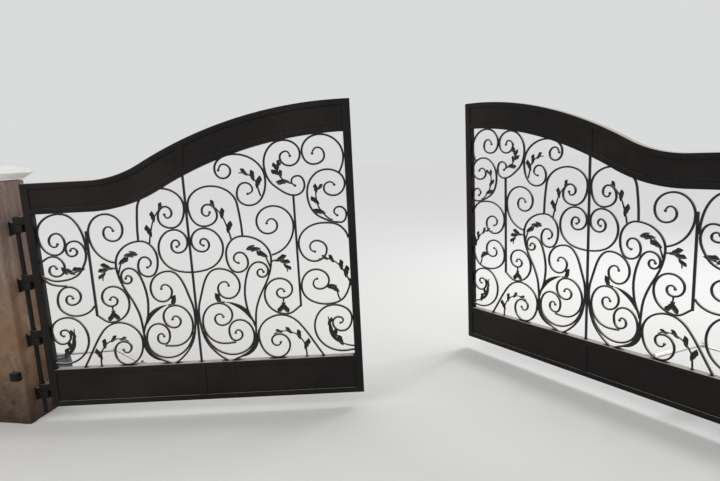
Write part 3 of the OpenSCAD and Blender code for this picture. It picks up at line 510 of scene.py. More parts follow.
def arm_steel(name, colours):
    """Bright drawn steel with long fine scratches and a little grime."""
    finish = Finish(name, colours.arm)
    grime = finish.noise(15.0, 4.0).between(0.48, 0.75)
    finish.coat(colours.plate, grime * 0.22)
    finish.coat(colours.arm_rubbed, finish.edges(0.003) * 0.3)
    finish.emboss(finish.noise(60.0, 4.0, at=finish.stretched(1.0, 1.0, 14.0)), 0.0003)
    return finish.surface(Metallic=0.2, Roughness=0.36 + grime * 0.2)


def moulded_black(name, colours):
    """Black moulded housing with a fine grain and a film of dust."""
    finish = Finish(name, colours.housing)
    film = finish.noise(30.0, 4.0).between(0.6, 0.85) * 0.02
    pale_coat = finish.facing_up().between(0.5, 0.95) * 0.12 + film
    finish.coat(colours.dust, pale_coat.clamped())
    finish.emboss(finish.noise(700.0, 2.0), 0.0003, 0.6)
    return finish.surface(Roughness=0.50 + pale_coat * 0.3, Specular_IOR_Level=0.15)


def dark_lens(name, colours):
    """Smooth dark red window, with a faint haze."""
    finish = Finish(name, colours.lens)
    haze = finish.noise(60.0).between(0.4, 0.8)
    finish.coat(colours.dust, haze * 0.2)
    finish.emboss(haze, 0.0002, 0.3)
    return finish.surface(Roughness=0.08 + haze * 0.12, Coat_Weight=0.5)


# The record's slots, and the lens: (recipe, name, how much dust and painted highlight on top, how rubbed,
# scale of the paint's peel)
RECIPES = {
    "stucco": (trowelled_stucco, "trowelled_stucco"),
    "cap_stone": (cast_stone, "cast_stone"),
    "frame_iron": (painted_iron, "frame_iron_paint", 0.9, 0.4),
    "panel_iron": (painted_iron, "panel_iron_paint", 0.4, 0.0, 180.0),
    "scroll_iron": (forged_iron, "forged_scroll_iron", 0.95, 0.3),
    "acanthus_iron": (forged_iron, "forged_leaf_iron", 0.3, 0.4),
    "hinge_iron": (painted_iron, "hinge_iron_paint", 0.5, 1.0, 140.0),
    "operator_casing": (casing_paint, "casing_paint"),
    "operator_steel": (plate_steel, "plate_steel"),
    "arm_steel": (arm_steel, "arm_steel"),
    "photocell_plastic": (moulded_black, "moulded_black"),
    "lens": (dark_lens, "dark_lens"),
}
FINISHES = {}


# Modelling by hand, in code

DOUBLES = 0.00001  # points nearer than this are one
CAD_DOUBLES = 0.00002
FLAT_ANGLE = 1.0  # faces of the CAD that meet at less than this many degrees are one


def only(*objects):
    """Selects these objects and nothing else; the last one is active."""
    bpy.ops.object.select_all(action="DESELECT")
    for obj in objects:
        obj.select_set(True)
        bpy.context.view_layer.objects.active = obj


@contextmanager
def editing(obj, kind="faces", test=None):
    """Opens an object for editing, with the parts of a kind selected that pass the test, or everything."""
    only(obj)
    bpy.ops.object.mode_set(mode="EDIT")
    bpy.ops.mesh.select_mode(type={"verts": "VERT", "edges": "EDGE", "faces": "FACE"}[kind])
    bpy.ops.mesh.select_all(action="DESELECT" if test else "SELECT")
    if test:
        mesh = bmesh.from_edit_mesh(obj.data)
        for part in filter(test, getattr(mesh, kind)):
            part.select_set(True)
        mesh.select_flush_mode()
        bmesh.update_edit_mesh(obj.data)
    yield
    bpy.ops.object.mode_set(mode="OBJECT")


def pull(x, y, z):
    """Extrudes what is selected."""
    bpy.ops.mesh.extrude_region_move(TRANSFORM_OT_translate={"value": (x, y, z)})


def resize(x, y, z, about):
    """Resizes what is selected about a point."""
    bpy.ops.transform.resize(value=(x, y, z), center_override=about)


def draw_up(rise, plan, sides, before, after, about):
    """Extrudes the selected face, if there is a rise, and changes how far it stands out from the plan."""
    if rise is not None:
        pull(0, 0, rise)
    resize(*[(size + n * after) / (size + n * before) for size, n in zip(plan, sides)], 1, about)


def looks(x, y, z):
    """A test for faces that look in a direction."""
    return lambda face: face.normal.dot(Vector((x, y, z))) > 0.99


def runs(axis):
    """A test for edges that run along an axis, 0 to 2."""
    def test(edge):
        step = edge.verts[1].co - edge.verts[0].co
        return step.length > 0 and abs(step[axis]) / step.length > 0.999
    return test


def linked(name, data):
    """A new object in the scene."""
    obj = bpy.data.objects.new(name, data)
    bpy.context.scene.collection.objects.link(obj)
    return obj


def primitive(name, add, **how):
    """Adds a primitive, with its place in its mesh."""
    bpy.ops.object.select_all(action="DESELECT")
    add(**how)
    obj = bpy.context.object
    obj.name = name
    bpy.ops.object.transform_apply(location=True, rotation=True, scale=True)
    return obj


def block(name, low, high):
    """A cube primitive between two corners."""
    low, high = Vector(low), Vector(high)
    return primitive(name, bpy.ops.mesh.primitive_cube_add, size=1,
                     location=(low + high) / 2, scale=high - low)


def drum(name, centre, radius, depth, axis="Z", sides=32):
    """A cylinder primitive about a centre."""
    turn = {"X": (0, math.pi / 2, 0), "Y": (math.pi / 2, 0, 0), "Z": (0, 0, 0)}[axis]
    return primitive(name, bpy.ops.mesh.primitive_cylinder_add, vertices=sides, radius=radius, depth=depth,
                     location=centre, rotation=turn)


def shaped(obj, kind, **settings):
    """Applies a modifier with these settings."""
    only(obj)
    modifier = obj.modifiers.new(kind.lower(), kind)
    for name, value in settings.items():
        setattr(modifier, name, value)
    bpy.ops.object.modifier_apply(modifier=modifier.name)


def soften(obj, radius, segments=2, angle=40.0):
    """Rounds every edge that is sharper than an angle."""
    shaped(obj, "BEVEL", width=radius, segments=segments, limit_method="ANGLE",
           angle_limit=math.radians(angle), use_clamp_overlap=True)
    return obj


def round_edges(obj, test, radius, segments=3):
    """Rounds the edges that pass the test."""
    with editing(obj, "edges", test):
        bpy.ops.mesh.bevel(offset=radius, segments=segments, affect="EDGES", clamp_overlap=True)
    return obj


def outwards(obj):
    """Merges doubles and points every face outwards, also where a thin sheet comes out inside out."""
    with editing(obj):
        bpy.ops.mesh.remove_doubles(threshold=DOUBLES)
        bpy.ops.mesh.select_all(action="SELECT")
        bpy.ops.mesh.normals_make_consistent(inside=False)
        if bmesh.from_edit_mesh(obj.data).calc_volume(signed=True) < 0:
            bpy.ops.mesh.flip_normals()
    return obj


def joined(objects):
    """Joins objects into the first one."""
    only(*reversed(objects))
    bpy.ops.object.join()
    return bpy.context.object


def placed(model, name, matrix):
    """A copy of a model with its own mesh, moved in its mesh, its faces still outwards."""
    mesh = model.data.copy()
    mesh.transform(matrix)
    if matrix.determinant() < 0:
        mesh.flip_normals()
    return linked(name, mesh)


def copies(model, places):
    """Copies a model to each place, joins the copies and removes the model."""
    made = joined([placed(model, model.name, place) for place in places])
    bpy.data.objects.remove(model)
    return made


def install(model, what, place, body, slot, node=None, finish=None, angle=35.0):
    """Copies a finished model to both sides, lets each copy ride on its body and replace its node."""
    only(model)
    bpy.ops.object.shade_smooth_by_angle(angle=math.radians(angle))
    for side in SIDES:
        piece = placed(model, f"{side}_{what}", place(side))
        piece.data.materials.clear()
        piece.data.materials.append(FINISHES[finish or slot])
        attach(piece, "posts" if body == "posts" else f"{side}_{body}")
        if node:
            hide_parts(f"{side}_{node}")
    bpy.data.objects.remove(model)


def cad_copy(node, place):
    """A merged copy of a left-hand CAD node, in the coordinates that place turns into the frame's."""
    copy = placed(frame["nodes"][f"left_{node}"], node, place("left").inverted())
    for attribute in ("sharp_face", "sharp_edge", "custom_normal"):
        if attribute in copy.data.attributes:
            copy.data.attributes.remove(copy.data.attributes[attribute])
    with editing(copy):
        bpy.ops.mesh.remove_doubles(threshold=CAD_DOUBLES)
        bpy.ops.mesh.select_all(action="SELECT")
        bpy.ops.mesh.dissolve_limited(angle_limit=math.radians(FLAT_ANGLE))
    return copy


# The curve of the top rail: a level run, a hollow bend, a round bend and a level crest


class Ogee:
    """The rail's curve, seen from the front, from the stile's outer edge."""

    def __init__(self, start, rise, level_run, bend_run, valley_radius):
        self.start = start
        self.top = start + rise
        self.level_end = level_run
        self.bend_end = level_run + bend_run
        self.turn = 2 * math.atan(rise / bend_run)
        self.valley_radius = valley_radius
        self.crest_radius = bend_run / math.sin(self.turn) - valley_radius

    def height(self, x, below):
        """Height at x of the line that lies a distance below the upper edge."""
        hollow = self.valley_radius + below
        crest = self.crest_radius - below
        if x <= self.level_end:
            return self.start - below
        if x <= self.level_end + hollow * math.sin(self.turn):
            return self.start + self.valley_radius - math.sqrt(hollow ** 2 - (x - self.level_end) ** 2)
        if x <= self.bend_end:
            return self.top - self.crest_radius + math.sqrt(crest ** 2 - (self.bend_end - x) ** 2)
        return self.top - below


def leaf_ogee():
    """The curve of this gate's top rail."""
    leaf = sizes("leaf")
    bend_run = LEAF_WIDTH - leaf.level_run - leaf.crest_run
    return Ogee(HINGE_END_HEIGHT, CREST_RISE, leaf.level_run, bend_run, leaf.valley_radius)


# The scrollwork is drawn on a grid of thousandths of the leaf's width, as in the part's source

DRAWN = Ogee(713, 201, 200, 783, 340)
DRAWN_RAIL = 94
DRAWN_SILL = 124
DRAWN_STILE = 24
DRAWN_MIDDLE = 500
UPRIGHT_AT = 320
UPRIGHT_FOOT = 290
UPRIGHT_TOPS = (560, 637)  # by the hinge, and in the crest half
SHORT_BEND = 45  # a bend between stations that are nearer than this has coarser steps

# Each scroll is (eyes, stations): one eye is at the last station, two are at both ends. A station is
# (distance from the leaf's middle, height, heading of the bar in degrees).
PAIRED_SCROLLS = (
    # arch beside the upright, under the top rail
    (1, ((160, 522, 90), (152, 620, 98), (75, 678, 180), (6, 620, 270), (50, 557, 360),
         (90, 590, 450), (64, 623, 540), (46, 603, 630), (60, 588, 720), (69, 599, 800))),
    # second round beside the upright
    (1, ((4, 416, 4), (60, 428, 28), (99, 490, 90), (45, 551, 180), (6, 512, 270), (37, 479, 360),
         (58, 499, 450), (43, 519, 540), (32, 506, 630), (41, 498, 700))),
    # long stem that rises beside the upright
    (1, ((88, 122, 155), (40, 162, 130), (10, 235, 97), (7, 262, 90), (7, 290, 88), (22, 350, 74),
         (78, 423, 0), (139, 368, -90), (103, 327, -180), (72, 358, -270), (93, 381, -360),
         (105, 368, -450))),
    # upper round of the heart at the foot
    (1, ((112, 183, 185), (80, 181, 180), (16, 250, 90), (69, 313, 0), (108, 275, -90),
         (75, 241, -180), (54, 262, -270), (70, 278, -360), (80, 268, -440))),
    # lower round of the heart
    (1, ((15, 225, -78), (103, 143, 0), (170, 203, 90), (128, 256, 180), (94, 220, 270),
         (113, 189, 360), (134, 207, 450), (122, 223, 540), (113, 214, 620))),
    # great stem from the foot to the middle
    (1, ((92, 122, 18), (140, 143, 30), (172, 185, 72), (177, 225, 87), (181, 275, 83), (196, 325, 68),
         (217, 366, 62), (240, 445, 88), (156, 521, 180), (106, 463, 270), (139, 409, 360),
         (170, 438, 450), (147, 471, 540), (128, 452, 630), (141, 438, 710))),
    # small stem that springs from the great one
    (1, ((176, 232, 100), (157, 285, 100), (152, 340, 87), (165, 405, 70), (200, 438, 0),
         (228, 411, -90), (210, 390, -180), (195, 404, -270), (206, 415, -360), (214, 406, -440))),
    # round under the side upright's head
    (1, ((244, 458, 14), (286, 481, 45), (314, 548, 90), (256, 609, 180), (205, 562, 270),
         (237, 525, 360), (266, 549, 450), (249, 570, 540), (235, 557, 620))),
    # round at the side upright's foot
    (1, ((318, 292, 215), (277, 268, 180), (212, 330, 90), (259, 383, 0), (297, 348, -90),
         (268, 320, -180), (249, 337, -270), (262, 350, -360), (272, 341, -440))),
    # round on the bottom rail with a straight foot
    (1, ((384, 121, 124), (350, 177, 121), (326, 216, 125), (295, 252, 145), (256, 266, 180),
         (184, 200, 270), (240, 127, 360), (278, 168, 450), (247, 203, 540), (223, 184, 630),
         (239, 166, 720), (250, 176, 800))),
    # round in the lower outer corner
    (1, ((478, 141, 182), (445, 138, 180), (358, 220, 90), (418, 290, 0), (473, 246, -90),
         (442, 204, -180), (414, 231, -270), (431, 250, -360), (446, 239, -450), (437, 230, -540))),
)
CREST_SCROLLS = (
    # long C under the rail
    (2, ((106, 724, 430), (120, 741, 360), (141, 721, 270), (119, 699, 180), (95, 727, 90),
         (152, 769, 0), (241, 690, -90), (190, 614, -180), (154, 647, -270), (180, 683, -360),
         (201, 662, -450), (186, 649, -530))),
    # C over the side upright
    (2, ((327, 667, 150), (317, 680, 90), (336, 696, 0), (355, 668, -90), (324, 638, -180),
         (268, 668, -219), (240, 735, -270), (300, 803, -360), (347, 762, -450), (316, 727, -540),
         (288, 753, -630), (306, 770, -720), (318, 756, -800))),
    # round in the upper corner
    (1, ((457, 698, 60), (473, 748, 90), (406, 815, 180), (353, 767, 270), (386, 728, 360),
         (418, 753, 450), (399, 777, 540), (383, 760, 620))),
    # C against the meeting stile
    (2, ((446, 571, 150), (437, 582, 90), (452, 597, 0), (473, 574, -90), (455, 549, -180),
         (393, 570, -212), (361, 640, -270), (421, 711, -360), (473, 668, -450), (439, 632, -540),
         (411, 654, -630), (429, 673, -720), (442, 664, -790))),
    # upper of the two facing rounds
    (1, ((475, 500, 97), (455, 536, 138), (400, 550, 180), (326, 487, 270), (372, 432, 360),
         (409, 468, 450), (379, 496, 540), (359, 477, 630), (373, 462, 720))),
    # lower of the two facing rounds
    (1, ((475, 372, -95), (456, 316, -125), (400, 294, -180), (326, 352, -270), (371, 406, -360),
         (410, 370, -450), (382, 343, -540), (362, 360, -630), (374, 376, -720))),
)
HINGE_SCROLLS = (
    # round under the level of the top rail
    (1, ((326, 500, 90), (399, 616, 0), (473, 555, -90), (424, 490, -180), (391, 526, -270),
         (414, 557, -360), (440, 532, -450), (424, 515, -540), (414, 524, -620))),
    # long round from the stile to the side upright
    (1, ((479, 425, 197), (434, 408, 180), (349, 440, 122), (329, 490, 90), (361, 531, 0),
         (391, 507, -90), (374, 484, -180), (356, 497, -270), (368, 509, -360), (377, 502, -430))),
    # small round against the stile
    (1, ((478, 466, 145), (436, 486, 180), (402, 452, 270), (429, 423, 360), (452, 441, 450),
         (437, 457, 540), (428, 448, 620))),
    # round over the lower corner
    (1, ((324, 324, -58), (384, 294, 0), (440, 340, 90), (399, 388, 180), (364, 358, 270),
         (394, 330, 360), (412, 346, 450), (399, 360, 540), (390, 351, 620))),
    # link from the stile to that round
    (0, ((479, 420, 215), (450, 398, 198), (404, 391, 184))),
)

# Each spray is (side of the stem that its leaflets are on, leaflets, stations)
PAIRED_SPRAYS = (
    (-1, 4, ((328, 122, 90), (326, 158, 96), (308, 192, 130), (268, 212, 172), (230, 203, 215))),
    (-1, 3, ((479, 152, 180), (446, 160, 163), (418, 187, 122), (404, 224, 95), (401, 252, 95))),
    (-1, 1, ((88, 315, 178), (76, 317, 165), (66, 326, 130))),
    (1, 1, ((268, 317, -92), (267, 302, -90), (266, 282, -90))),
    (-1, 1, ((268, 317, -92), (267, 302, -90), (266, 282, -90))),
    (1, 3, ((241, 438, 20), (262, 441, -8), (280, 428, -60), (287, 402, -85))),
    (-1, 3, ((126, 508, 98), (114, 560, 108), (96, 600, 128), (70, 625, 160))),
    (1, 3, ((236, 418, 108), (222, 458, 112), (200, 480, 148), (172, 486, 200))),
)
CREST_SPRAYS = (
    (1, 4, ((319, 674, 178), (300, 681, 152), (283, 701, 120), (276, 722, 82), (290, 738, 25))),
    (1, 4, ((432, 557, 168), (402, 583, 130), (388, 615, 98), (387, 648, 80), (406, 658, 5))),
    (-1, 4, ((479, 345, 105), (462, 386, 115), (440, 420, 136), (412, 438, 160), (382, 438, 190))),
    (1, 2, ((441, 306, 125), (432, 338, 105), (414, 356, 160))),
    (-1, 3, ((224, 640, 108), (216, 675, 98), (198, 703, 138), (164, 713, 180))),
)
# The sprays that have small leaflets on their stem's other side too
FULL_SPRAYS = CREST_SPRAYS[:1]
HINGE_SPRAYS = ((1, 3, ((340, 454, -75), (360, 436, -22), (392, 432, 10), (412, 442, 55))),)
PAIRED_CRESCENTS = (
    # outside the great stem's foot
    ((106, 131, 10), (150, 146, 36), (176, 180, 70), (183, 222, 88)),
    # inside the round in the lower corner
    ((444, 161, 165), (415, 185, 122), (406, 215, 98), (404, 243, 90)),
    # over the upper round of the heart
    ((174, 236, 100), (158, 272, 120), (130, 300, 150), (88, 315, 178)),
)


def fit(u, z):
    """A point of the drawing, stretched to the leaf's own opening, as (x, z) in leaf coordinates."""
    out = (u - DRAWN_MIDDLE) / (DRAWN_MIDDLE - DRAWN_STILE)
    half = MIDDLE_AT - STILE_WIDTH if out < 0 else LEAF_WIDTH - STILE_WIDTH - MIDDLE_AT
    across = (u - DRAWN_STILE) / (2 * (DRAWN_MIDDLE - DRAWN_STILE))
    up = (z - DRAWN_SILL) / (DRAWN.height(u, DRAWN_RAIL) - DRAWN_SILL)
    even_x = STILE_WIDTH + across * (LEAF_WIDTH - 2 * STILE_WIDTH)
    top = leaf_ogee().height(even_x, sizes("leaf").top_rail_depth)
    return LEAF_START + MIDDLE_AT + out * half, SILL + up * (top - SILL)


def along(heading):
    """The direction of a heading in degrees."""
    return Vector((math.cos(math.radians(heading)), math.sin(math.radians(heading))))


def bend_point(start, end, t):
    """A point of the bend between two stations: the curve that an even bend would take."""
    p, q = Vector(start[:2]), Vector(end[:2])
    reach = (q - p).length / (3 * math.cos(math.radians((end[2] - start[2]) / 4)) ** 2)
    p1, q1 = p + reach * along(start[2]), q - reach * along(end[2])
    u = 1 - t
    return u ** 3 * p + 3 * u * u * t * p1 + 3 * u * t * t * q1 + t ** 3 * q


def bar_line(stations, crest, step=8.0):
    """A bar's middle line on one half of the leaf, as (x, z, distance along in stations)."""
    if crest:
        stations = [(DRAWN_MIDDLE + out, z, heading) for out, z, heading in stations]
    else:
        stations = [(DRAWN_MIDDLE - out, z, 180 - heading) for out, z, heading in stations]
    line = []
    for i, (start, end) in enumerate(zip(stations, stations[1:])):
        short = (Vector(end[:2]) - Vector(start[:2])).length < SHORT_BEND
        count = max(3, math.ceil(abs(end[2] - start[2]) / (step * 1.5 if short else step)))
        line += [(*fit(*bend_point(start, end, k / count)), i + k / count) for k in range(count)]
    return line + [(*fit(*stations[-1][:2]), len(stations) - 1)]


def spline_through(curve, points):
    """Adds a spline of straight runs to a curve."""
    spline = curve.splines.new("POLY")
    spline.points.add(len(points) - 1)
    for point, (x, y, size) in zip(spline.points, points):
        point.co = (x, y, 0, 1)
        point.radius = size
    return spline


def sweep(name, lines, outline):
    """A mesh of bars that stand in the leaf's middle plane. Each line is [(x, z, size share), ...]."""
    section = bpy.data.curves.new(name + "_section", "CURVE")
    section.dimensions = "2D"
    spline_through(section, [(x, y, 1) for x, y in outline]).use_cyclic_u = True
    holder = linked(section.name, section)
    curve = bpy.data.curves.new(name, "CURVE")
    curve.dimensions = "3D"
    curve.twist_mode = "Z_UP"
    curve.bevel_mode = "OBJECT"
    curve.bevel_object = holder
    curve.use_fill_caps = True
    for line in lines:
        spline_through(curve, line)
    only(linked(name, curve))
    bpy.ops.object.convert(target="MESH")
    bars = bpy.context.object
    bars.data.transform(Matrix.Rotation(math.pi / 2, 4, "X"))
    bpy.data.objects.remove(holder)
    return outwards(bars)


def rounded_square(side, corner):
    """Outline of a square with rounded corners."""
    inner = side / 2 - corner
    points = []
    for quarter, (x, y) in enumerate(((inner, inner), (-inner, inner), (-inner, -inner), (inner, -inner))):
        for turn in (0, 45, 90):
            out = corner * along(90 * quarter + turn)
            points.append((x + out.x, y + out.y))
    return points


def oval(width, depth, sides=12):
    """Outline of an oval."""
    turns = [2 * math.pi * k / sides for k in range(sides)]
    return [(width / 2 * math.cos(a), depth / 2 * math.sin(a)) for a in turns]


def tapered(line, eyes, eye_share):
    """A bar's line with its size shares: it thins over the last two stations of an eye."""
    total = line[-1][2]
    sized = []
    for x, z, s in line:
        from_end = min(1, (total - s) / 2) if eyes >= 1 else 1
        from_start = min(1, s / 2) if eyes == 2 else 1
        sized.append((x, z, eye_share + (1 - eye_share) * min(from_end, from_start)))
    return sized


def scroll_eye():
    """The forged eye that ends a scroll: a ball, flattened in front and behind."""
    leaf = sizes("leaf")
    eye = primitive("scroll_eye", bpy.ops.mesh.primitive_uv_sphere_add, segments=14, ring_count=8,
                    radius=leaf.eye / 2, rotation=(math.pi / 2, 0, 0))
    with editing(eye, "verts", lambda v: abs(v.co.y) > leaf.bar * 0.55):
        resize(1, 0.72, 1, (0, 0, 0))
    return eye


def half_scrolls(crest):
    """All the scroll bars of one half leaf, with their eyes."""
    leaf = sizes("leaf")
    lines, eyes = [], []
    for count, stations in PAIRED_SCROLLS + (CREST_SCROLLS if crest else HINGE_SCROLLS):
        line = bar_line(stations, crest)
        lines.append(tapered(line, count, leaf.eye_share))
        ends = [line[-1]] * (count >= 1) + [line[0]] * (count == 2)
        eyes += [Matrix.Translation((x, 0, z)) for x, z, _ in ends]
    bars = sweep("scroll_bars", lines, rounded_square(leaf.bar, leaf.bar_corner))
    return joined([bars, copies(scroll_eye(), eyes)])


def leaflet():
    """One acanthus leaflet along +X: a cupped sheet with a midrib, round lobes and a curled blunt tip."""
    leaf = sizes("leaf")
    lobes, steps, across = 2, 18, 6
    sheet = primitive("leaflet", bpy.ops.mesh.primitive_grid_add, size=2,
                      x_subdivisions=steps, y_subdivisions=across)
    for vertex in sheet.data.vertices:
        t, v = (vertex.co.x + 1) / 2, vertex.co.y
        swell = math.sin(math.pi * t ** 1.35) ** 0.8 if 0 < t < 1 else 0
        wave = abs(math.sin(math.pi * lobes * t))
        curl = 0.16 * t * t * leaf.leaflet_length
        edge = 0.7 * swell * (0.76 + 0.24 * wave) if v > 0 else 0.3 * math.sin(math.pi * t)
        rise = leaf.leaflet_cup * (abs(v) ** 1.6 * (0.5 + 0.5 * wave) * swell + 0.5 * max(0, t - 0.7) / 0.3)
        rib = 0.0022 * max(0, 1 - abs(v) * 4) * (1 - t)
        vein = 0.0012 * max(0, v) * math.cos(2 * math.pi * lobes * t)
        vertex.co = (leaf.leaflet_length * t, rib + vein - rise, curl + v * leaf.leaflet_width * edge)
    shaped(sheet, "SOLIDIFY", thickness=leaf.leaflet_sheet, offset=0)
    return outwards(sheet)


def leaflet_places(spray, line, crest):
    """Where the leaflets of one spray grow."""
    leaf = sizes("leaf")
    # each leaflet is smaller than the one before it, and starts a share of its length before its place
    shrink, start, small_start = 0.12, 0.3, 0.1
    side, count, _ = spray
    side = side if crest else -side
    spots = [(i, side, 1 - shrink * i, start) for i in range(count)]
    if spray in FULL_SPRAYS:
        spots += [(i + 0.5, -side, leaf.small_leaflet * (1 - shrink * i), small_start)
                  for i in range(count - 1)]
    places = []
    for i, way, size, overlap in spots:
        at = round((len(line) - 1) * (i + 1) / (count + 0.6))
        before, after = line[max(0, at - 1)], line[min(len(line) - 1, at + 1)]
        heading = math.atan2(after[1] - before[1], after[0] - before[0]) + way * leaf.leaflet_lean
        places.append(
            Matrix.Translation((line[at][0], 0, line[at][1]))
            @ Matrix.Rotation(-heading, 4, "Y")
            @ Matrix.Scale(way, 4, (0, 0, 1))
            @ Matrix.Translation((-leaf.leaflet_length * overlap, 0, -leaf.leaflet_width * 0.08))
            @ Matrix.Scale(size, 4))
    return places


def leaf_sprays():
    """The stems, leaflets and crescents of a whole leaf."""
    leaf = sizes("leaf")
    stem_taper, crescent_tip, crescent_depth = 0.4, 0.06, 0.009
    stems, crescents, places = [], [], []
    for crest in HALVES:
        for spray in PAIRED_SPRAYS + (CREST_SPRAYS if crest else HINGE_SPRAYS):
            line = bar_line(spray[2], crest)
            stems.append([(x, z, 1 - stem_taper * s / line[-1][2]) for x, z, s in line])
            places += leaflet_places(spray, line, crest)
        for stations in PAIRED_CRESCENTS:
            line = bar_line(stations, crest, 5.0)
            swell = [max(crescent_tip, math.sin(math.pi * s / line[-1][2])) for _, _, s in line]
            crescents.append([(x, z, share) for (x, z, _), share in zip(line, swell)])
    return joined([
        sweep("spray_stems", stems, oval(leaf.stem, leaf.stem, 8)),
        sweep("crescents", crescents, oval(leaf.crescent, crescent_depth)),
        copies(leaflet(), places),
    ])


# The leaf's frame

RAIL_TUCK = 0.002  # how far a rail's tube runs into the stiles, and a divider into the straight tubes
BENT_TUCK = 0.012  # how far a divider runs into the bent tubes
DIVIDER_INSET = 0.001  # how far a divider's face stands in from the tubes' face
TUBE_END = 0.0012  # how far a tube's ends are drawn in
BEND_STEPS = 26  # of each of the top rail's two bends
UPRIGHT_CORNER = 0.0015
UPRIGHT_FOOT_TUCK = 0.004  # how far the middle upright runs into the bottom rail
UPRIGHT_HEAD_TUCK = 0.006  # and into the top rail


def frame_tube(low, high, axis):
    """A length of box tube along an axis: rounded corners, with its ends drawn in a little by the weld."""
    tube = round_edges(block("tube", low, high), runs(axis), sizes("leaf").tube_corner)
    return soften(tube, TUBE_END, 1, 60.0)


def bottom_tube(low, high):
    """A tube of the bottom rail, from stile to stile."""
    start, end = HINGE_STILE[1].x - RAIL_TUCK, MEETING_STILE[0].x + RAIL_TUCK
    return frame_tube((start, -HALF_DEPTH, low), (end, HALF_DEPTH, high), 0)


def divider(low, high):
    """The tube that divides a rail at the leaf's middle."""
    half, depth = sizes("leaf").divider / 2, HALF_DEPTH - DIVIDER_INSET
    return frame_tube((LEAF_MIDDLE - half, -depth, low), (LEAF_MIDDLE + half, depth, high), 2)


def bent_tube(low, high):
    """One bent tube of the top rail, between two depths below its upper edge."""
    leaf = sizes("leaf")
    ogee = leaf_ogee()
    level_end = LEAF_START + ogee.level_end
    tube = block("tube", (HINGE_STILE[1].x - RAIL_TUCK, -HALF_DEPTH, ogee.start - high),
                 (level_end, HALF_DEPTH, ogee.start - low))
    round_edges(tube, runs(0), leaf.tube_corner, 2)
    centres = (
        (ogee.turn, (level_end, 0, ogee.start + ogee.valley_radius)),
        (-ogee.turn, (LEAF_START + ogee.bend_end, 0, ogee.top - ogee.crest_radius)))
    with editing(tube, "faces", looks(1, 0, 0)):
        for turn, centre in centres:
            bpy.ops.mesh.spin(steps=BEND_STEPS, angle=turn, axis=(0, 1, 0), center=centre)
        bpy.ops.mesh.select_all(action="SELECT")
        bpy.ops.mesh.bisect(plane_co=(MEETING_STILE[0].x + RAIL_TUCK, 0, 0), plane_no=(1, 0, 0),
                            clear_outer=True, use_fill=True)
    return outwards(tube)


def bottom_rail():
    """The two tubes of the bottom rail and the divider between them."""
    tube = sizes("leaf").rail_tube
    return joined([
        bottom_tube(0, tube),
        bottom_tube(SILL - tube, SILL),
        divider(tube - RAIL_TUCK, SILL - tube + RAIL_TUCK)])


def top_rail():
    """The two bent tubes of the top rail and the divider between them."""
    leaf = sizes("leaf")
    tube, depth = leaf.rail_tube, leaf.top_rail_depth
    foot = leaf_ogee().height(MIDDLE_AT, depth - tube) - BENT_TUCK
    head = leaf_ogee().height(MIDDLE_AT, tube) + BENT_TUCK
    return joined([bent_tube(0, tube), bent_tube(depth - tube, depth), divider(foot, head)])


def upright_bars(lines):
    """Upright bars of square section along their lines."""
    return sweep("uprights", lines, rounded_square(sizes("leaf").upright, UPRIGHT_CORNER))


def middle_upright():
    """The upright bar at the leaf's middle, let into both rails."""
    top = leaf_ogee().height(MIDDLE_AT, sizes("leaf").top_rail_depth)
    ends = (SILL - UPRIGHT_FOOT_TUCK, top + UPRIGHT_HEAD_TUCK)
    return upright_bars([[(LEAF_MIDDLE, z, 1) for z in ends]])


def side_uprights():
    """The two upright bars among the scrolls."""
    lines = []
    for crest, top in zip(HALVES, UPRIGHT_TOPS):
        u = DRAWN_MIDDLE + (UPRIGHT_AT if crest else -UPRIGHT_AT)
        head, foot = fit(u, top), fit(u, UPRIGHT_FOOT)
        lines.append([(*foot, 1), (foot[0], (foot[1] + head[1]) / 2, 1), (*head, 1)])
    return upright_bars(lines)


# Hinges

WEB_TUCK = 0.002  # how far a web runs into its lug
WEB_SLOPE = 0.68  # height of a web at its lug, as a share of its height at the wall
WEB_EDGE = 0.0015
WEB_WELD = 0.022  # half the length of the weld between a lug and its web
WELD_PITCH = 1.5  # from mound to mound of a weld, as a share of their radius
UPRIGHT_WELD_END = 0.003  # how far a knuckle's welds end before its corners
LEVEL_WELD_END = 0.004
ROD_END = 0.003  # rounding of the rod's ends


def weld_bead(start, end):
    """A run of weld: overlapping small mounds from start to end."""
    start, end = Vector(start), Vector(end)
    radius = sizes("posts").weld
    count = max(2, round((end - start).length / (radius * WELD_PITCH)))
    mound = primitive("weld", bpy.ops.mesh.primitive_ico_sphere_add, subdivisions=1, radius=radius)
    return copies(mound, [Matrix.Translation(start.lerp(end, k / count)) for k in range(count + 1)])


def wall_lug(low, high, middle):
    """One lug: a block round the rod, on a web plate let into the wall and welded to it."""
    posts = sizes("posts")
    half, thick = posts.lug_block / 2, posts.lug_web / 2
    tall, web_tall = posts.lug_tall / 2, posts.lug_web_height / 2
    web = block("web", (low.x, -thick, middle - web_tall), (-half + WEB_TUCK, thick, middle + web_tall))
    with editing(web, "verts", lambda v: v.co.x > -half):
        resize(1, 1, WEB_SLOPE, (0, 0, middle))
    soften(web, WEB_EDGE)
    body = block("lug", (-half, -half, middle - tall), (high.x, half, middle + tall))
    soften(body, posts.fitting_edge)
    ends = (middle - WEB_WELD, middle + WEB_WELD)
    welds = [weld_bead(*[(-half, y, z) for z in ends]) for y in (-thick, thick)]
    return [web, body] + welds


def wall_lugs():
    """The lugs on a pillar."""
    low, high = box_in("hinge_lugs", at_rod)
    web = sizes("posts").lug_web_height
    pitch = (high.z - low.z - web) / (HINGES - 1)
    middles = [low.z + web / 2 + pitch * level for level in range(HINGES)]
    return joined([part for middle in middles for part in wall_lug(low, high, middle)])


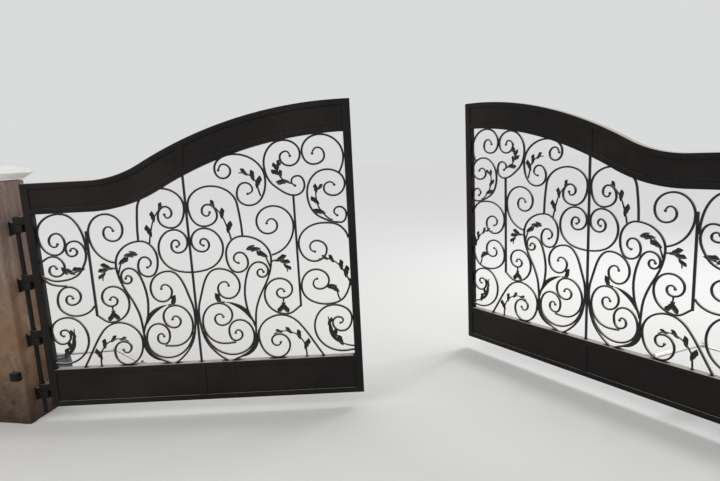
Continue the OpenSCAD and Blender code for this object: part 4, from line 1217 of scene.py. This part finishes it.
def leaf_knuckles():
    """The leaf's knuckles with their welds along the stile."""
    posts = sizes("posts")
    parts = [soften(cad_copy("knuckles", on_leaf), posts.fitting_edge)]
    low, high = box_in("knuckles", on_leaf)
    pitch = (high.z - low.z - posts.lug_tall) / (HINGES - 1)
    for level in range(HINGES):
        foot = low.z + pitch * level
        head = foot + posts.lug_tall
        ends = (foot + UPRIGHT_WELD_END, head - UPRIGHT_WELD_END)
        parts += [weld_bead(*[(LEAF_START, y, z) for z in ends]) for y in (low.y, high.y)]
        ends = (low.y + LEVEL_WELD_END, high.y - LEVEL_WELD_END)
        parts += [weld_bead(*[(LEAF_START, y, z) for y in ends]) for z in (foot, head)]
    return joined(parts)


def rod():
    """The hinge rod, with rounded ends."""
    low, high = box_in("hinge_rod", at_rod)
    bar = drum("rod", (low + high) / 2, (high.x - low.x) / 2, high.z - low.z, "Z", 40)
    return round_edges(bar, lambda e: any(abs(f.normal.z) > 0.99 for f in e.link_faces), ROD_END, 2)


# Posts

TROWEL_SWEEP = 0.16  # size of the stucco's broad unevenness
TROWEL_MIDDLE = 0.6  # share of the unevenness that goes inwards
CAP_EDGE = 0.002


def stucco_pillar():
    """A pillar: rounded corners, remeshed evenly and trowelled a little uneven."""
    posts = sizes("posts")
    low, high = box_in("pillar", on_post)
    pillar = round_edges(block("pillar", low, high), runs(2), posts.pillar_corner, 4)
    shaped(pillar, "REMESH", mode="VOXEL", voxel_size=posts.stucco_cell)
    clouds = bpy.data.textures.new("trowel_marks", "CLOUDS")
    clouds.noise_scale = TROWEL_SWEEP
    clouds.noise_depth = 2
    shaped(pillar, "DISPLACE", texture=clouds, texture_coords="LOCAL",
           strength=posts.stucco_relief, mid_level=TROWEL_MIDDLE)
    with editing(pillar, "verts", lambda v: v.co.z < low.z + posts.stucco_cell / 2):
        resize(1, 1, 0, (0, 0, low.z))
    return pillar


def cap_edge():
    """The cap's moulding as (overhang, height above the pillar), from its foot to its highest low step."""
    posts = sizes("posts")
    cove, nose = posts.cap_cove, posts.cap_slab / 2
    wave, lift = 0.07, 0.9  # how far the moulding is from a straight slope, and how soon it climbs
    slope_rise, step_rise = posts.cap_weathering * 0.12, posts.cap_weathering * 0.28
    edge = []
    for t in [k / 8 for k in range(9)]:
        edge.append((posts.cap_cove_reach * (t - wave * math.sin(2 * math.pi * t)), cove * t ** lift))
    for heading in range(-90, 91, 18):
        out = nose * along(heading)
        edge.append((posts.cap_overhang - nose + out.x, cove + nose + out.y))
    reach = posts.cap_overhang - posts.cap_step_in
    rise = cove + posts.cap_slab
    edge += [(reach, rise), (reach, rise + posts.cap_step)]
    for _ in range(2):
        reach, rise = reach - posts.cap_slope / 3, edge[-1][1] + slope_rise
        edge += [(reach, rise), (reach, rise + step_rise)]
    return edge


def stone_cap():
    """A cap: its plan is drawn up along the moulding, step by step, so its corners are mitred."""
    low, high = box_in("cap", on_post)
    foot_low, foot_high = box_in("pillar", on_post)
    plan = foot_high - foot_low
    edge = cap_edge()
    edge.append((edge[-1][0] - sizes("posts").cap_slope / 3, high.z - foot_high.z))
    # the block is the moulding's first step, so there the face is only widened
    reach, height = 0.0, edge[1][1]
    cap = block("cap", (*foot_low.xy, foot_high.z), (*foot_high.xy, foot_high.z + height))
    with editing(cap, "faces", looks(0, 0, 1)):
        for step, (over, top) in enumerate(edge[1:]):
            draw_up(top - height if step else None, plan, (2, 2), reach, over, (low + high) / 2)
            reach, height = over, top
    return soften(outwards(cap), CAP_EDGE, 2, 30.0)


def photocell():
    """A photocell: a rounded housing with a hooded window towards the other pillar, and its screws."""
    corner, rim, cover_rise, cover_slope = 0.006, 0.0045, 0.0015, 0.94
    hood_out, hood_radius, hood_depth, hood_wall = 0.003, 0.0135, 0.005, 0.002
    lens_back, lens_radius, lens_depth = 0.0022, 0.0112, 0.0025
    screw_in, screw_radius, screw_depth = 0.012, 0.0032, 0.002
    low, high = box_in("photocell", on_post)
    front = high.x - hood_out
    middle_z = (low.z + high.z) / 2
    window_y = low.y + (high.y - low.y) * 0.45
    housing = block("housing", low, (front, high.y, high.z))
    round_edges(housing, lambda e: runs(2)(e) or runs(1)(e), corner)
    with editing(housing, "faces", looks(0, -1, 0)):
        bpy.ops.mesh.inset(thickness=rim, depth=0)
        pull(0, -cover_rise, 0)
        resize(cover_slope, 1, cover_slope, ((low.x + front) / 2, low.y, middle_z))
    soften(housing, 0.0012, 2, 30.0)
    hood = drum("hood", (high.x - hood_depth / 2, window_y, middle_z), hood_radius, hood_depth, "X")
    with editing(hood, "faces", looks(1, 0, 0)):
        bpy.ops.mesh.inset(thickness=hood_wall, depth=0)
        pull(-hood_depth / 2, 0, 0)
    parts = [housing, soften(hood, 0.0006, 1, 30.0)]
    for x, z in ((low.x + screw_in, low.z + screw_in), (front - screw_in, high.z - screw_in)):
        screw = drum("screw", (x, low.y - cover_rise, z), screw_radius, screw_depth, "Y", 14)
        parts.append(soften(screw, 0.0007, 1))
    lens = drum("lens", (high.x - lens_back, window_y, middle_z), lens_radius, lens_depth, "X")
    with editing(lens, "faces", looks(1, 0, 0)):
        bpy.ops.mesh.inset(thickness=0.004, depth=0.0008)
    return joined(parts), lens


# Operators

LID_GAP = 0.008  # from the lid's top to the shaft's place
RIB_FOOT = 0.006  # from the foot of the casing's rib to the seam
STUB_TUCK = 0.02  # how far the shaft's stub runs into the lid
LID_SCREWS_IN = (0.045, 0.035)  # from the casing's sides
KEY_COVER_DOWN = 0.045  # below the seam
PLATE_CORNER = 0.008
BOLTS_ACROSS = (0.06, 0.5, 0.94)  # as shares of the plate's width
BOLT_UP = 0.011  # from the plate's foot
BOLT_HEAD = 0.008
ARM_EDGE = 0.0016
BRACKET_EDGE = 0.6  # as a share of the iron fittings' rounding


def operator_casing():
    """The operator's casing: a rounded body, a rib round the joint and a tapered lid with its screws."""
    posts = sizes("posts")
    low, high = box_in("operator_casing", at_rod)
    rib, lid = posts.casing_rib, posts.casing_lid
    x0, x1, y0, y1 = low.x + rib, high.x - rib, low.y, high.y - rib
    middle_x = (x0 + x1) / 2
    shaft = SHAFT_FROM_ROD
    lid_top = shaft.z - LID_GAP
    seam = lid_top - lid
    casing = block("casing", (x0, y0, low.z), (x1, y1, seam - RIB_FOOT))
    round_edges(casing, runs(2), posts.casing_corner, 6)
    # each step is (rise, how far it then stands out from the body)
    steps = (
        (0.0006, rib), (0.0048, rib), (0.0006, 0.0), (0.003, -0.0012), (0.003, 0.0),
        (lid * 0.45, 0.0), (lid * 0.3, -0.005), (lid * 0.15, -0.012))
    grown = 0.0
    with editing(casing, "faces", looks(0, 0, 1)):
        for rise, out in steps:
            draw_up(rise, (x1 - x0, y1 - y0), (2, 1), grown, out, (middle_x, y0, seam))
            grown = out
        bpy.ops.mesh.inset(thickness=0.02, depth=0.002)
    parts = [soften(casing, 0.0015, 2, 25.0)]
    stub_middle = (shaft.x, shaft.y, (high.z + lid_top) / 2 - STUB_TUCK / 2)
    # each is (name, middle, radius, length, axis, sides, rounding)
    turned = [
        ("stub", stub_middle, 0.014, high.z - lid_top + STUB_TUCK, "Z", 32, 0.0015),
        ("boss", (shaft.x, shaft.y, lid_top), 0.03, 0.004, "Z", 40, 0.0015),
        ("key_cover", (middle_x, y1 + 0.001, seam - KEY_COVER_DOWN), 0.013, 0.004, "Y", 24, 0.0012)]
    in_x, in_y = LID_SCREWS_IN
    for x in (x0 + in_x, x1 - in_x):
        for y in (y0 + in_y, y1 - in_y):
            turned.append(("screw", (x, y, lid_top + 0.0005), 0.006, 0.004, "Z", 16, 0.0012))
    parts += [soften(drum(*drawn), edge, 2, 50.0) for *drawn, edge in turned]
    return joined(parts)


def operator_plate():
    """The steel plate on the pillar's back, with its anchor bolts."""
    low, high = box_in("operator_plate", at_rod)
    plate = round_edges(block("plate", low, high), runs(1), PLATE_CORNER)
    parts = [soften(plate, 0.0012, 1)]
    for across in BOLTS_ACROSS:
        centre = (low.x + (high.x - low.x) * across, high.y + 0.003, low.z + BOLT_UP)
        parts.append(soften(drum("bolt", centre, sizes("posts").bolt / 2, BOLT_HEAD, "Y", 6), 0.001, 1))
    return joined(parts)


# Steps


class GATE_OT_finishes(bpy.types.Operator):
    """Make every finish once"""

    bl_idname = "gate.finishes"
    bl_label = "Finishes"

    def execute(self, context):
        FINISHES.clear()
        for slot, (recipe, name, *amounts) in RECIPES.items():
            FINISHES[slot] = recipe(name, sizes("colours"), *amounts)
        return {"FINISHED"}


class GATE_OT_leaf_frame(bpy.types.Operator):
    """Build the stiles and rails of both leaves and paint their panels"""

    bl_idname = "gate.leaf_frame"
    bl_label = "Leaf Frame"

    def execute(self, context):
        for node, tubes, model in (
                ("hinge_stile", "tube", frame_tube(*HINGE_STILE, 2)),
                ("meeting_stile", "tube", frame_tube(*MEETING_STILE, 2)),
                ("bottom_rail", "tubes", bottom_rail()),
                ("top_rail", "tubes", top_rail())):
            install(model, f"{node}_{tubes}", on_leaf, "leaf", "frame_iron", node)
        for node in [f"{side}_{panel}" for side in SIDES for panel in ("top_panel", "bottom_panel")]:
            paint = frame["nodes"][node].material_slots[0]
            paint.link = "OBJECT"
            paint.material = FINISHES["panel_iron"]
        return {"FINISHED"}


class GATE_OT_scrollwork(bpy.types.Operator):
    """Forge the scrolls and uprights of both leaves"""

    bl_idname = "gate.scrollwork"
    bl_label = "Scrollwork"

    def execute(self, context):
        for half, crest in (("hinge", False), ("crest", True)):
            install(half_scrolls(crest), f"{half}_scroll_bars", on_leaf, "leaf", "scroll_iron",
                    f"{half}_scrolls", angle=50)
        install(middle_upright(), "middle_upright_bar", on_leaf, "leaf", "scroll_iron", "middle_upright")
        install(side_uprights(), "side_upright_bars", on_leaf, "leaf", "scroll_iron", "side_uprights")
        return {"FINISHED"}


class GATE_OT_sprays(bpy.types.Operator):
    """Forge the acanthus sprays of both leaves"""

    bl_idname = "gate.sprays"
    bl_label = "Acanthus Sprays"

    def execute(self, context):
        install(leaf_sprays(), "acanthus_sprays", on_leaf, "leaf", "acanthus_iron", "acanthus", angle=60)
        return {"FINISHED"}


class GATE_OT_hinges(bpy.types.Operator):
    """Build the lugs, knuckles and rods"""

    bl_idname = "gate.hinges"
    bl_label = "Hinges"

    def execute(self, context):
        install(wall_lugs(), "wall_lugs", at_rod, "posts", "hinge_iron", "hinge_lugs")
        install(leaf_knuckles(), "leaf_knuckles", on_leaf, "leaf", "hinge_iron", "knuckles")
        install(rod(), "hinge_rod_bar", at_rod, "posts", "hinge_iron", "hinge_rod")
        return {"FINISHED"}


class GATE_OT_posts(bpy.types.Operator):
    """Build the pillars, their caps and the photocells"""

    bl_idname = "gate.posts"
    bl_label = "Posts"

    def execute(self, context):
        install(stucco_pillar(), "stucco_pillar", on_post, "posts", "stucco", "pillar", angle=60)
        install(stone_cap(), "stone_cap", on_post, "posts", "cap_stone", "cap")
        cell, lens = photocell()
        install(cell, "photocell_housing", on_post, "posts", "photocell_plastic", "photocell")
        install(lens, "photocell_lens", on_post, "posts", "photocell_plastic", finish="lens")
        return {"FINISHED"}


class GATE_OT_operators(bpy.types.Operator):
    """Build the casings, plates and arms that move the leaves"""

    bl_idname = "gate.operators"
    bl_label = "Gate Operators"

    def execute(self, context):
        install(operator_casing(), "casing", at_rod, "posts", "operator_casing", "operator_casing")
        install(operator_plate(), "wall_plate", at_rod, "posts", "operator_steel", "operator_plate")
        for node, place in (("crank", on_crank), ("link", on_link)):
            arm = soften(cad_copy(node, at_rod), ARM_EDGE)
            install(arm, f"{node}_arm", place, node, "arm_steel", node)
        bracket = soften(cad_copy("arm_bracket", on_leaf), sizes("posts").fitting_edge * BRACKET_EDGE)
        install(bracket, "leaf_bracket", on_leaf, "leaf", "operator_steel", "arm_bracket")
        return {"FINISHED"}


class GATE_OT_stage(bpy.types.Operator):
    """Set up the floor, the light and the camera"""

    bl_idname = "gate.stage"
    bl_label = "Stage"

    def execute(self, context):
        stage = sizes("stage")
        lay_floor(stage)
        light_world(stage)
        aim = Vector((GATE_MIDDLE, 0.2, 0.9))
        hang_lamp("key_lamp", Vector((GATE_MIDDLE - 4.0, -5.5, 5.5)), aim, 5.0, stage.key)
        hang_lamp("rim_lamp", Vector((GATE_MIDDLE + 3.4, 4.2, 5.4)), aim, 2.0, stage.rim)
        place_camera(stage)
        context.scene.view_settings.view_transform = "Standard"
        return {"FINISHED"}


def lay_floor(stage):
    """A pale floor that keeps the gate's shadow and is paler far away."""
    middle = (GATE_MIDDLE, 0, 0)
    add = bpy.ops.mesh.primitive_plane_add
    floor = primitive("stage_floor", add, size=stage.floor_size, location=middle)
    finish = Finish("stage_floor_paint", stage.floor)
    settings = {"operation": "DISTANCE"}
    away = finish.amount("ShaderNodeVectorMath", "Value", settings, {0: finish.where, 1: middle})
    # Painted light: the far floor is made paler where the lamps no longer reach, so that it meets the
    # backdrop without a grey band.
    finish.coat(stage.floor_far, away.between(2.5, 11.0))
    floor.data.materials.append(finish.surface(Roughness=0.9, Specular_IOR_Level=0.1))


def light_world(stage):
    """Even light from all round; the camera and shiny iron see the pale backdrop."""
    world = bpy.data.worlds.new("studio")
    bpy.context.scene.world = world
    nodes = Nodes(world)
    rays = nodes.node("ShaderNodeLightPath").outputs
    seen = rays["Is Camera Ray"]
    for ray in ("Is Glossy Ray", "Is Transmission Ray"):
        seen = nodes.node("ShaderNodeMath", {"operation": "MAXIMUM"}, {0: seen, 1: rays[ray]}).outputs[0]
    light, backdrop = [
        nodes.node("ShaderNodeBackground", None, {"Color": colour, "Strength": strength}).outputs[0]
        for colour, strength in ((stage.fill_tint, stage.fill), (stage.backdrop, 1.0))]
    mixed = nodes.node("ShaderNodeMixShader", None, {0: seen, 1: light, 2: backdrop}).outputs[0]
    nodes.node("ShaderNodeOutputWorld", None, {"Surface": mixed})


def hang_lamp(name, at, aim, size, watts):
    """A square soft lamp that looks at a point."""
    lamp = bpy.data.lights.new(name, "AREA")
    lamp.shape = "SQUARE"
    lamp.size = size
    lamp.energy = watts
    holder = linked(name, lamp)
    holder.location = at
    holder.rotation_euler = (aim - at).to_track_quat("-Z", "Y").to_euler()


def place_camera(stage):
    """The camera where the photo was taken from."""
    h, p, r = stage.heading, stage.pitch, stage.roll
    forward = Vector((math.sin(h) * math.cos(p), math.cos(h) * math.cos(p), math.sin(p)))
    level = Vector((math.cos(h), -math.sin(h), 0))
    up = level.cross(forward)
    right = math.cos(r) * level + math.sin(r) * up
    top = -math.sin(r) * level + math.cos(r) * up
    lens = bpy.data.cameras.new("street_camera")
    lens.sensor_width = 36
    lens.lens = stage.lens
    lens.clip_end = 300
    camera = linked("street_camera", lens)
    turn = Matrix((right, top, -forward)).transposed().to_4x4()
    camera.matrix_world = Matrix.Translation(Vector(stage.camera_at)) @ turn
    bpy.context.scene.camera = camera


class GATE_PT_panel(bpy.types.Panel):
    """The gate's steps and sizes, in the sidebar"""

    bl_idname = "GATE_PT_panel"
    bl_label = "Driveway Gate"
    bl_space_type = "VIEW_3D"
    bl_region_type = "UI"
    bl_category = "Gate"

    def draw(self, context):
        for step in STEPS:
            self.layout.operator(step.bl_idname)
        for group in GROUPS:
            box = self.layout.box()
            for name in GROUPS[group].__annotations__:
                box.prop(sizes(group), name)


STEPS = (GATE_OT_stage, GATE_OT_finishes, GATE_OT_leaf_frame, GATE_OT_scrollwork, GATE_OT_sprays,
         GATE_OT_hinges, GATE_OT_posts, GATE_OT_operators)


def register():
    """Registers the property groups, the operators and the panel."""
    for name, group in GROUPS.items():
        bpy.utils.register_class(group)
        setattr(bpy.types.Scene, f"gate_{name}", bpy.props.PointerProperty(type=group))
    for step in (*STEPS, GATE_PT_panel):
        bpy.utils.register_class(step)


def unregister():
    """Takes back what register made."""
    for step in (GATE_PT_panel, *reversed(STEPS)):
        bpy.utils.unregister_class(step)
    for name, group in GROUPS.items():
        delattr(bpy.types.Scene, f"gate_{name}")
        bpy.utils.unregister_class(group)


def main():
    """Builds the gate step by step."""
    register()
    bpy.ops.gate.stage()
    bpy.ops.gate.finishes()
    bpy.ops.gate.leaf_frame()
    bpy.ops.gate.scrollwork()
    bpy.ops.gate.sprays()
    bpy.ops.gate.hinges()
    bpy.ops.gate.posts()
    bpy.ops.gate.operators()


if __name__ == "__main__":
    main()
